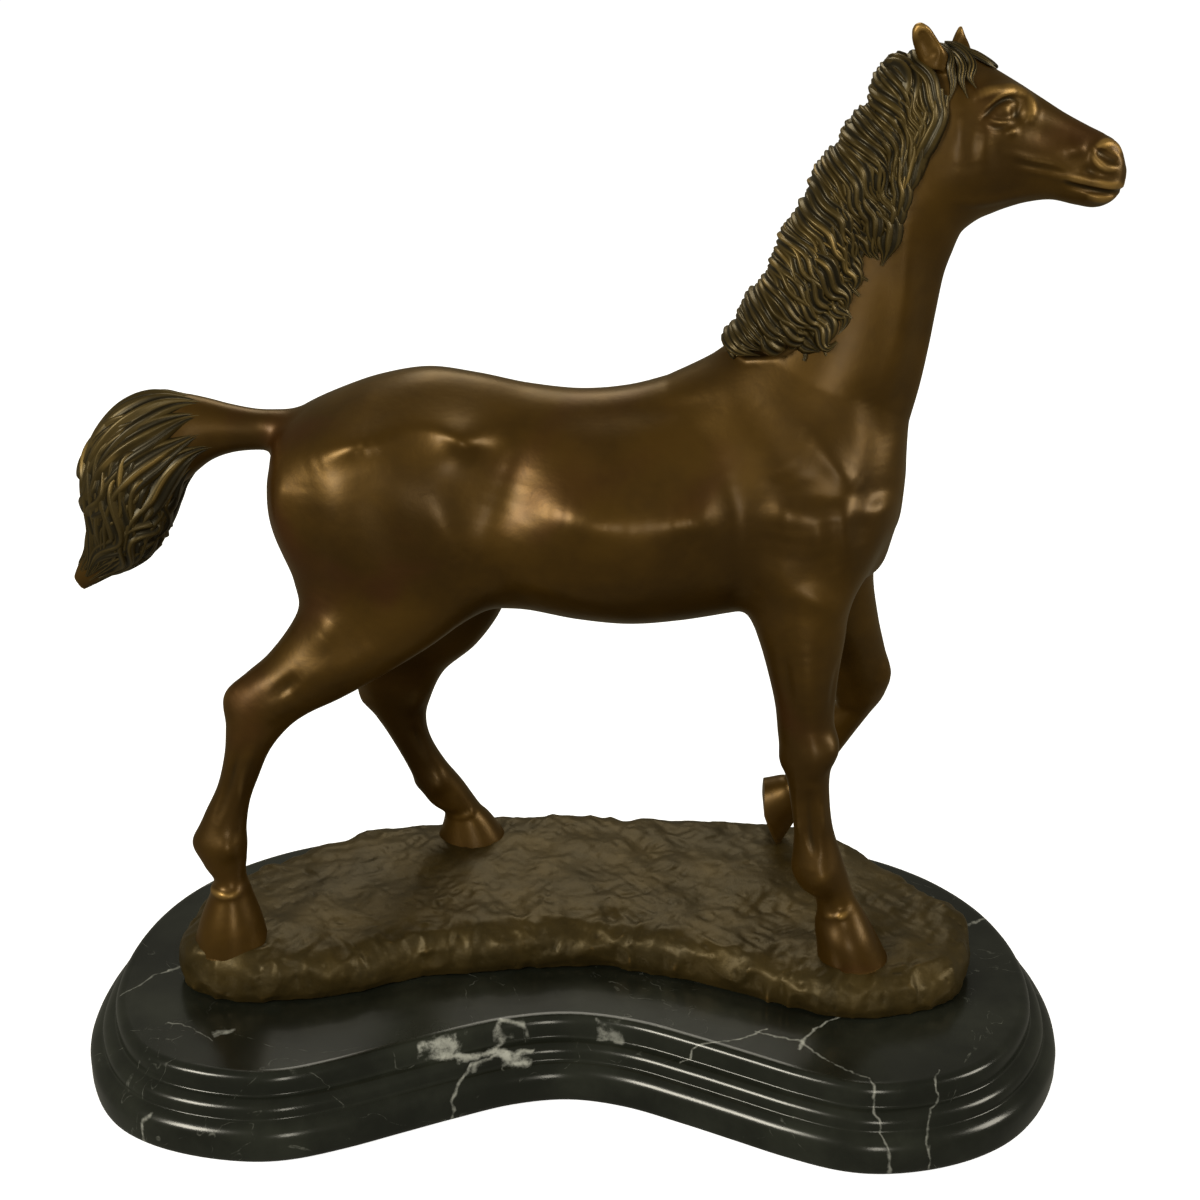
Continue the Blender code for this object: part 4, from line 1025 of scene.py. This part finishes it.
def tail_locks():
    rng = np.random.default_rng(5)
    steps = 12
    rows = smooth_path(DOCK, steps)
    locks = []
    for number, begin, end, rise, share, waving in TAIL_LAYERS:
        for place in range(number):
            first = begin + rng.uniform(-0.5, 0.9)
            last = end + rng.uniform(-0.5, 0.0)
            t = np.linspace(0, 1, 60)
            at = np.clip((first + (last - first) * t) * steps, 0, len(rows) - 1)
            section = np.stack([np.interp(at, np.arange(len(rows)), rows[:, k]) for k in range(6)], axis=1)
            x1, z1, x2, z2, y, half = section.T
            angle = math.tau * (place + rng.uniform(-0.25, 0.25)) / number
            angle = angle + waving * np.sin(math.tau * t * rng.uniform(1.2, 2.2) + rng.uniform(0, 6.28))
            long = np.hypot(x1 - x2, z1 - z2) / 2
            cos, sin = np.cos(angle), np.sin(angle)
            path = np.stack([
                (x1 + x2) / 2 + (x1 - x2) / 2 * cos * rise, y + half * sin * rise,
                (z1 + z2) / 2 + (z1 - z2) / 2 * cos * rise,
            ], axis=1)
            across = cos / (2 * long**2)
            out = np.stack([(x1 - x2) * across, sin / half, (z1 - z2) * across], axis=1)
            out /= np.linalg.norm(out, axis=1, keepdims=True)
            room = math.pi * (long + half) / number
            width = taper(len(t), 1.0, start=0.15, tip=0.3, full_from=0.3, full_to=0.75)
            locks.append((path, out, width * room * share))
    return locks


FORELOCK = [
    # path of (x, y, z), half width, lift
    ([(106, 3, 326), (109.5, 0.5, 324), (111.3, -1, 320), (111, -3, 316), (113, -4.5, 311.5)], 1.5, 0.6),
    ([(107, 5, 327), (112.5, 2, 324), (114.2, 0, 320), (113.2, -1.5, 316.5), (115.5, -3, 313.5)], 1.6, 0.7),
    ([(105, 6, 327), (108, 1, 324.5), (108.2, -2.5, 320), (108.8, -4, 315), (107.6, -5, 310)], 1.4, 0.5),
    ([(107, 7, 327), (113, 6.5, 325), (118.5, 7, 322), (122.5, 8, 319), (121.5, 9, 316.5)], 1.5, 0.6),
    ([(108, 9, 326), (114, 9.5, 324), (119.5, 10, 320.5), (121, 10.5, 317.5)], 1.4, 0.5),
    ([(109, 5, 326), (115, 4, 323.5), (119.5, 4, 320.5), (121.5, 4.5, 318)], 1.4, 0.4),
    ([(108, 11, 325.5), (112, 13, 321), (113.5, 14.5, 316.5)], 1.6, 0.6),
]


def forelock_locks(clay):
    locks = []
    for path, width, lift in FORELOCK:
        path, out = clay.onto_skin(smooth_path(path, 8))
        out = evened(out, 4)
        locks.append((evened(path, 2) + out * lift, out, taper(len(path), width, start=0.6)))
    return locks


def build_hair(clays, material):
    head = clays["neck_and_head_casting"]
    for name, layers in MANE_LAYERS.items():
        sweep_locks(name, mane_locks(head, layers), material, ["neck_and_head_casting"], Strands=3.0)
    sweep_locks("forelock_locks", forelock_locks(head), material, ["neck_and_head_casting"], Strands=3.2)
    sweep_locks("tail_locks", tail_locks(), material, ["tail_casting"], Strands=2.8)


# ---------------------------------------------------------------- ground
def outline_distance(x, y, outline):
    """Distance of points from a closed outline, negative inside it."""
    nearest = np.full(np.broadcast(x, y).shape, 1e9, np.float32)
    crossings = np.zeros(nearest.shape, int)
    for a, b in zip(outline, np.roll(outline, -1, axis=0)):
        run = b - a
        t = np.clip(((x - a[0]) * run[0] + (y - a[1]) * run[1]) / (run @ run), 0, 1)
        nearest = np.minimum(nearest, (x - a[0] - t * run[0]) ** 2 + (y - a[1] - t * run[1]) ** 2)
        if a[1] != b[1]:
            between = (y >= min(a[1], b[1])) & (y < max(a[1], b[1]))
            crossings += between & (x < a[0] + (y - a[1]) / run[1] * run[0])
    return np.sqrt(nearest) * np.where(crossings % 2 == 1, -1, 1)


def ground_height(x, y):
    mound_x, mound_y, reach, height = MOUND
    away = ((x - mound_x) ** 2 + (y - mound_y) ** 2) / reach**2
    return GROUND_TOP + GROUND_RISE * (y + 30.0) + height * np.exp(-away)


def ground_clay(step):
    """The cast ground: a slab with a rounded edge, worked all over with the marks of the modelling tool."""
    clay = Clay(*GROUND_BLOCK, step)
    _, (x, y, z) = clay.window(*GROUND_BLOCK)
    edge = outline_distance(x, y, closed_path(GROUND_OUTLINE, 4)).astype(np.float32)
    slab = z - ground_height(x, y)
    rim = edge + 1.2 * step_up(30 - z, 0, 4)
    field = -soft_min(-slab, -rim, GROUND_BEND)
    marks = 0.0
    for seed, turn, long in STROKES:
        along = x * math.cos(turn) + y * math.sin(turn)
        across = y * math.cos(turn) - x * math.sin(turn)
        share = step_up(lattice_noise(x, y, z * 0, 15, seed + 20), -0.25, 0.35)
        marks = marks + share * np.abs(lattice_noise(along * long, across, z * 0.5, 3.4, seed))
    pits = step_up(lattice_noise(x, y, z, 1.9, 8), 0.42, 0.75)
    lumps = lattice_noise(x, y, z, 11, 9)
    by_edge = step_up(edge, -16, -3)
    rocks = by_edge * (np.abs(lattice_noise(x, y, z * 0.8, 7.5, 10)) - 0.25)
    field = field - 0.8 * lumps + 0.55 * (marks - 0.45) + 0.3 * pits + 1.3 * rocks
    field = np.maximum(field, GROUND_FOOT - z)
    clay.field = np.clip(field, -DEEP, DEEP).astype(np.float32)
    return clay


def build_ground(bronze):
    clay = ground_clay(0.82)
    bm = bmesh_of(*biggest_shell(*clay.skin()))
    mesh = bpy.data.meshes.new("ground_skin")
    bm.to_mesh(mesh)
    bm.free()
    dress_skin(mesh, clay)
    add_piece("ground_relief", mesh, bronze, ["ground_casting"])


# ---------------------------------------------------------------- marble
def build_marble(stone):
    corners = MARBLE_HALF + [(-x, y) for x, y in MARBLE_HALF[-2:0:-1]]
    outline = closed_path(corners[::-1], 6)
    # The left front corner is fuller than the right one
    fuller = 3.2 * np.exp(-((outline[:, 0] + 135) / 30) ** 2 - ((outline[:, 1] + 62) / 34) ** 2)
    outline = inset(outline, -0.5) - fuller[:, None] * (0.7, 0.7)
    bm = bmesh.new()
    rings = []
    for distance, height in MARBLE_PROFILE:
        rings.append([bm.verts.new(metres((x, y, height))) for x, y in inset(outline, distance)])
    for ring, after in zip(rings, rings[1:]):
        for a, b, c, d in zip(ring, ring[1:] + ring[:1], after[1:] + after[:1], after):
            bm.faces.new((a, b, c, d))
    bm.faces.new(rings[0][::-1])
    bm.faces.new(rings[-1])
    bmesh.ops.recalc_face_normals(bm, faces=bm.faces)
    mesh = bpy.data.meshes.new("marble_steps")
    bm.to_mesh(mesh)
    bm.free()
    marble = bpy.data.objects.new("marble_steps", mesh)
    bpy.context.scene.collection.objects.link(marble)
    bm = bmesh.new()
    for x, y in STUD_PLACES:
        for foot, head, radius in DRILLS:
            matrix = Matrix.Translation(metres((x, y, (foot + head) / 2)))
            bmesh.ops.create_cone(
                bm, cap_ends=True, segments=48, radius1=radius * MM, radius2=radius * MM,
                depth=(head - foot) * MM, matrix=matrix,
            )
    cutter_mesh = bpy.data.meshes.new("drills")
    bm.to_mesh(cutter_mesh)
    bm.free()
    cutter = bpy.data.objects.new("drills", cutter_mesh)
    bpy.context.scene.collection.objects.link(cutter)
    modifier = marble.modifiers.new("drill", "BOOLEAN")
    modifier.operation, modifier.object = "DIFFERENCE", cutter
    modifier.solver, modifier.use_self = "EXACT", True
    graph = bpy.context.evaluated_depsgraph_get()
    drilled = bpy.data.meshes.new_from_object(marble.evaluated_get(graph))
    bpy.data.objects.remove(marble, do_unlink=True)
    bpy.data.objects.remove(cutter, do_unlink=True)
    for polygon in drilled.polygons:
        polygon.use_smooth = polygon.area < 2e-4 and polygon.center.z > (LIFT + 0.1) * MM
    add_piece("marble_steps", drilled, stone, ["marble_base"])


# ---------------------------------------------------------------- finishes
class Finish:
    """A procedural material, built node by node."""

    def __init__(self, name):
        self.material = bpy.data.materials.new(name)
        self.material.use_nodes = True
        self.tree = self.material.node_tree
        self.shader = self.tree.nodes["Principled BSDF"]
        self.place = self.node("ShaderNodeTexCoord").outputs["Object"]

    def node(self, kind, **settings):
        made = self.tree.nodes.new(kind)
        for key, value in settings.items():
            setattr(made, key, value)
        return made

    def put(self, socket, value):
        if isinstance(value, bpy.types.NodeSocket):
            self.tree.links.new(value, socket)
        else:
            socket.default_value = value

    def math(self, operation, a, b=0.0):
        made = self.node("ShaderNodeMath", operation=operation)
        self.put(made.inputs[0], a)
        self.put(made.inputs[1], b)
        return made.outputs[0]

    def value(self, name):
        return self.node("ShaderNodeAttribute", attribute_name=name).outputs["Fac"]

    def ramp(self, value, low, high, to_low=0.0, to_high=1.0):
        made = self.node("ShaderNodeMapRange", interpolation_type="SMOOTHSTEP")
        for number, item in enumerate((value, low, high, to_low, to_high)):
            self.put(made.inputs[number], item)
        return made.outputs[0]

    def noise(self, scale, detail=3.0, roughness=0.5, distortion=0.0, place=None):
        made = self.node("ShaderNodeTexNoise")
        self.put(made.inputs["Vector"], place or self.place)
        values = {"Scale": scale, "Detail": detail, "Roughness": roughness, "Distortion": distortion}
        for key, value in values.items():
            made.inputs[key].default_value = value
        return made.outputs["Fac"]

    def mix(self, share, a, b):
        made = self.node("ShaderNodeMix", data_type="RGBA")
        self.put(made.inputs["Factor"], share)
        self.put(made.inputs[6], (*a, 1.0) if isinstance(a, tuple) else a)
        self.put(made.inputs[7], (*b, 1.0) if isinstance(b, tuple) else b)
        return made.outputs[2]

    def warped(self, amount, scale, detail):
        """The place with its height taken out, shaken by noise, so that lines drawn on it wander."""
        noise = self.node("ShaderNodeTexNoise")
        self.put(noise.inputs["Vector"], self.place)
        noise.inputs["Scale"].default_value, noise.inputs["Detail"].default_value = scale, detail
        shift = self.vector("SUBTRACT", noise.outputs["Color"], (0.5, 0.5, 0.5))
        shift = self.vector("MULTIPLY", shift, (amount, amount, 0.0))
        return self.vector("ADD", self.vector("MULTIPLY", self.place, (1.0, 1.0, 0.0)), shift)

    def vector(self, operation, a, b=(0.0, 0.0, 0.0), output=0):
        made = self.node("ShaderNodeVectorMath", operation=operation)
        self.put(made.inputs[0], a)
        self.put(made.inputs[1], b)
        return made.outputs[output]

    def segment_distance(self, place, a, b):
        """Distance of a flat place from the line between two points in millimetres."""
        a, b = Vector((*a, 0)) * MM, Vector((*b, 0)) * MM
        way = (b - a).normalized()
        from_a = self.vector("SUBTRACT", place, tuple(a))
        along = self.math("MAXIMUM", self.vector("DOT_PRODUCT", from_a, tuple(way), output=1), 0.0)
        along = self.math("MINIMUM", along, (b - a).length)
        scaled = self.node("ShaderNodeVectorMath", operation="SCALE")
        scaled.inputs[0].default_value = way
        self.put(scaled.inputs["Scale"], along)
        return self.vector("DISTANCE", from_a, scaled.outputs[0], output=1)

    def bump(self, height, distance, strength=1.0):
        made = self.node("ShaderNodeBump")
        made.inputs["Strength"].default_value = strength
        made.inputs["Distance"].default_value = distance
        self.put(made.inputs["Height"], height)
        self.put(self.shader.inputs["Normal"], made.outputs["Normal"])

    def set(self, **values):
        for key, value in values.items():
            if isinstance(value, tuple):
                value = (*value, 1.0)
            self.put(self.shader.inputs[key.replace("_", " ")], value)


def horse_bronze():
    finish = Finish("horse_bronze_patina")
    cloud = finish.noise(26.0, 4.0, 0.6)
    fleck = finish.noise(170.0, 3.0, 0.6)
    colour = finish.mix(finish.ramp(cloud, 0.35, 0.7), (0.062, 0.030, 0.0035), (0.105, 0.053, 0.006))
    red = finish.ramp(finish.noise(17.0, 2.0, 0.5, 0.6), 0.56, 0.72)
    colour = finish.mix(finish.math("MULTIPLY", red, 0.6), colour, (0.085, 0.028, 0.009))
    # Painted shade: darker in the folds of the relief
    colour = finish.mix(finish.ramp(finish.value("relief"), -0.05, -0.45), colour, (0.018, 0.012, 0.004))
    # Gold on the ridges of the relief, in flecks: rubbed metal and painted highlight
    gold_wear_and_painted_glint = finish.ramp(finish.value("relief"), 0.1, 0.34)
    gold_wear_and_painted_glint = finish.math("MULTIPLY", gold_wear_and_painted_glint, finish.ramp(fleck, 0.2, 0.6))
    colour = finish.mix(gold_wear_and_painted_glint, colour, (0.34, 0.21, 0.075))
    # Rubbed spots on the ridges: wear on the muzzle, brow, ears and hooves, painted highlight on a fetlock
    # and the hock
    rub_and_highlight = finish.math("MULTIPLY", finish.value("wear_and_painted_light"), finish.ramp(finish.value("relief"), 0.0, 0.16))
    colour = finish.mix(finish.math("MULTIPLY", rub_and_highlight, 0.9), colour, (0.42, 0.25, 0.07))
    # Painted shade: the skin under the mane near black
    colour = finish.mix(finish.value("painted_shade_under_mane"), colour, (0.020, 0.014, 0.006))
    finish.set(Base_Color=colour, Metallic=0.55, Specular_Tint=(1.0, 0.84, 0.52))
    finish.set(Roughness=finish.ramp(finish.noise(60.0), 0.3, 0.7, 0.36, 0.44))
    finish.set(Coat_Weight=0.22, Coat_Roughness=0.3, Coat_Tint=(1.0, 0.88, 0.62))
    finish.bump(finish.noise(420.0, 2.0), 0.00012, 0.5)
    return finish.material


def hair_bronze():
    finish = Finish("hair_bronze_patina")
    cloud = finish.noise(60.0, 3.0, 0.6)
    colour = finish.mix(finish.ramp(cloud, 0.35, 0.7), (0.056, 0.038, 0.010), (0.105, 0.072, 0.020))
    # Painted shade in the grooves between strands, at the sides and under each lock
    colour = finish.mix(finish.ramp(finish.value("ridge"), 0.1, -1.0), colour, (0.016, 0.012, 0.005))
    # Gold on the strand crests, in patches: rubbed metal and painted glint
    rub_and_highlight = finish.ramp(finish.noise(38.0, 2.0, 0.5), 0.54, 0.66)
    gold_wear_and_painted_glint = finish.math("MULTIPLY", finish.ramp(finish.value("ridge"), 0.3, 0.9), rub_and_highlight)
    colour = finish.mix(finish.math("MULTIPLY", gold_wear_and_painted_glint, 0.85), colour, (0.36, 0.24, 0.075))
    finish.set(Base_Color=colour, Metallic=0.4, Roughness=0.4, Coat_Weight=0.2, Coat_Roughness=0.3)
    finish.set(Specular_Tint=(1.0, 0.88, 0.6), Coat_Tint=(1.0, 0.9, 0.68))
    return finish.material


def ground_bronze():
    finish = Finish("ground_bronze_patina")
    cloud = finish.noise(40.0, 5.0, 0.65)
    colour = finish.mix(finish.ramp(cloud, 0.3, 0.7), (0.036, 0.024, 0.006), (0.072, 0.047, 0.012))
    # Painted shade: darker in the folds and pits of the relief
    colour = finish.mix(finish.ramp(finish.value("relief"), -0.02, -0.4), colour, (0.020, 0.014, 0.006))
    # Gold on the ridges: rubbed metal and painted glint
    gold_wear_and_painted_glint = finish.ramp(finish.value("relief"), 0.10, 0.5)
    colour = finish.mix(gold_wear_and_painted_glint, colour, (0.24, 0.14, 0.04))
    finish.set(Base_Color=colour, Metallic=0.35)
    finish.set(Roughness=0.46, Specular_Tint=(1.0, 0.86, 0.58), Coat_Weight=0.08, Coat_Roughness=0.35)
    finish.bump(finish.noise(260.0, 4.0, 0.6), 0.0004, 0.6)
    return finish.material


# White veins of the marble: path of (x, y), half width, strength. They run down through the stone.
VEINS = [
    ([(-47, -60), (-36, -56), (-25, -52), (-14, -53)], 1.5, 0.9),
    ([(-25, -52), (-22, -47), (-15, -45)], 1.0, 0.7),
    ([(-13, -50), (-21, -52), (-32, -57), (-38, -67), (-44, -80)], 0.7, 0.7),
    ([(87, -42), (78, -50), (74, -55), (72, -58)], 0.7, 0.8),
    ([(74, -55), (82, -64), (93, -74), (99, -88)], 0.6, 0.55),
    ([(74, -55), (66, -53), (60, -50)], 0.5, 0.6), ([(36, -58), (50, -56), (64, -49)], 0.6, 0.7),
    ([(124, 6), (131, 12), (145, 21), (156, 30)], 0.7, 0.7),
    ([(-148, -36), (-137, -21), (-122, -8)], 0.5, 0.5),
    ([(111, -88), (113, -75), (116, -68)], 0.45, 0.5), ([(-113, -57), (-107, -55)], 1.2, 0.7),
    ([(-133, -80), (-129, -80)], 1.2, 0.7), ([(-128, -50), (-114, -60)], 0.4, 0.4),
    ([(10, -46), (16, -47)], 1.0, 0.5),
    ([(-60, 84), (-30, 62), (10, 70), (60, 88)], 0.7, 0.7),
    ([(-150, 20), (-120, 50), (-96, 82)], 0.6, 0.6), ([(120, 70), (96, 60), (70, 84)], 0.5, 0.6),
]


def black_marble():
    finish = Finish("black_marble_polish")
    cloud = finish.noise(30.0, 6.0, 0.6)
    colour = finish.mix(finish.ramp(cloud, 0.35, 0.75), (0.010, 0.0115, 0.008), (0.028, 0.031, 0.023))
    broken = finish.noise(260.0, 5.0, 0.7)
    flat = finish.warped(0.010, 70.0, 3.0)
    for path, width, strength in VEINS:
        for a, b in zip(path, path[1:]):
            away = finish.segment_distance(flat, a, b)
            ragged = finish.math("MULTIPLY", broken, width * 2.0 * MM)
            mask = finish.math("MULTIPLY", finish.ramp(away, ragged, 0.0), strength)
            mask = finish.math("MULTIPLY", mask, finish.ramp(broken, 0.28, 0.62))
            colour = finish.mix(mask, colour, (0.55, 0.56, 0.52))
    hair_line = finish.math("ABSOLUTE", finish.math("SUBTRACT", finish.noise(16.0, 4.0, 0.55, 0.8), 0.5))
    mask = finish.ramp(hair_line, 0.0035, 0.0)
    mask = finish.math("MULTIPLY", mask, finish.ramp(broken, 0.45, 0.7, 0.0, 0.3))
    colour = finish.mix(mask, colour, (0.4, 0.41, 0.37))
    finish.set(Base_Color=colour, Roughness=0.2, Specular_IOR_Level=0.5)
    return finish.material


def zinc_steel():
    finish = Finish("zinc_plated_steel")
    finish.set(Base_Color=(0.55, 0.56, 0.58), Metallic=1.0)
    finish.set(Roughness=finish.ramp(finish.noise(300.0), 0.3, 0.7, 0.28, 0.42))
    return finish.material


def dark_felt():
    finish = Finish("dark_felt_nap")
    nap = finish.noise(1800.0, 3.0, 0.7)
    finish.set(Base_Color=finish.mix(nap, (0.018, 0.022, 0.018), (0.04, 0.046, 0.04)), Roughness=0.95)
    finish.bump(nap, 0.0003)
    return finish.material


# ---------------------------------------------------------------- stage
# Soft lights: name, place, width, height and power. All point at LIT_POINT and share one colour.
LIGHTS = [
    ("key", (-0.95, -1.0, 0.80), 0.42, 0.42, 12), ("front_box", (0.26, -1.4, 0.34), 0.2, 0.42, 2.6),
    ("right_rim", (1.1, -0.30, 0.62), 0.4, 0.4, 5), ("back_top", (-0.1, 0.9, 1.2), 0.6, 0.6, 4),
]
LIT_POINT = Vector((0.0, 0.0, 0.17))
WARM = (1.0, 0.95, 0.80)


def add_light(name, place, size, size_y, power):
    lamp = bpy.data.lights.new(name, "AREA")
    lamp.shape, lamp.size, lamp.size_y = "RECTANGLE", size, size_y
    lamp.energy, lamp.color = power, WARM
    made = bpy.data.objects.new(name, lamp)
    made.location = place
    made.rotation_euler = (LIT_POINT - Vector(place)).to_track_quat("-Z", "Y").to_euler()
    bpy.context.scene.collection.objects.link(made)


def build_stage():
    scene = bpy.context.scene
    bm = bmesh.new()
    bmesh.ops.create_grid(bm, x_segments=1, y_segments=1, size=6.0)
    mesh = bpy.data.meshes.new("floor")
    bm.to_mesh(mesh)
    bm.free()
    paper = Finish("white_paper")
    paper.set(Base_Color=(0.9, 0.9, 0.9), Roughness=1.0, Specular_IOR_Level=0.0)
    paper.set(Emission_Color=(1.0, 1.0, 1.0), Emission_Strength=0.9)
    mesh.materials.append(paper.material)
    floor = bpy.data.objects.new("floor", mesh)
    scene.collection.objects.link(floor)
    floor.visible_glossy = False
    floor.visible_diffuse = False

    world = bpy.data.worlds.new("studio")
    scene.world = world
    world.use_nodes = True
    tree = world.node_tree
    tree.nodes.clear()
    path = tree.nodes.new("ShaderNodeLightPath")
    seen = tree.nodes.new("ShaderNodeBackground")
    seen.inputs["Color"].default_value = (1, 1, 1, 1)
    seen.inputs["Strength"].default_value = 1.0
    room = tree.nodes.new("ShaderNodeBackground")
    room.inputs["Color"].default_value = (1.0, 0.96, 0.78, 1)
    room.inputs["Strength"].default_value = 0.16
    mix = tree.nodes.new("ShaderNodeMixShader")
    out = tree.nodes.new("ShaderNodeOutputWorld")
    tree.links.new(path.outputs["Is Camera Ray"], mix.inputs[0])
    tree.links.new(room.outputs[0], mix.inputs[1])
    tree.links.new(seen.outputs[0], mix.inputs[2])
    tree.links.new(mix.outputs[0], out.inputs[0])

    scene.view_settings.view_transform = "Standard"

    for name, place, size, size_y, power in LIGHTS:
        add_light(name, place, size, size_y, power)

    azimuth, pitch = math.radians(1.8), math.radians(22.8)
    lens = bpy.data.cameras.new("camera")
    lens.lens, lens.sensor_width, lens.clip_start, lens.clip_end = 59.85, 36.0, 0.01, 20.0
    camera = bpy.data.objects.new("camera", lens)
    camera.location = (0.0268, -0.5857, 0.4015)
    camera.rotation_euler = (math.pi / 2 - pitch, 0.0, azimuth)
    scene.collection.objects.link(camera)
    scene.camera = camera


def paint_hardware():
    steel, felt = zinc_steel(), dark_felt()
    for name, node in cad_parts.items():
        if name.endswith(("_stud", "_washer", "_nut")):
            node.data.materials.clear()
            node.data.materials.append(steel)
        elif name.endswith("_pad"):
            node.data.materials.clear()
            node.data.materials.append(felt)


build_hair(build_horse(horse_bronze()), hair_bronze())
build_ground(ground_bronze())
build_marble(black_marble())
paint_hardware()
build_stage()
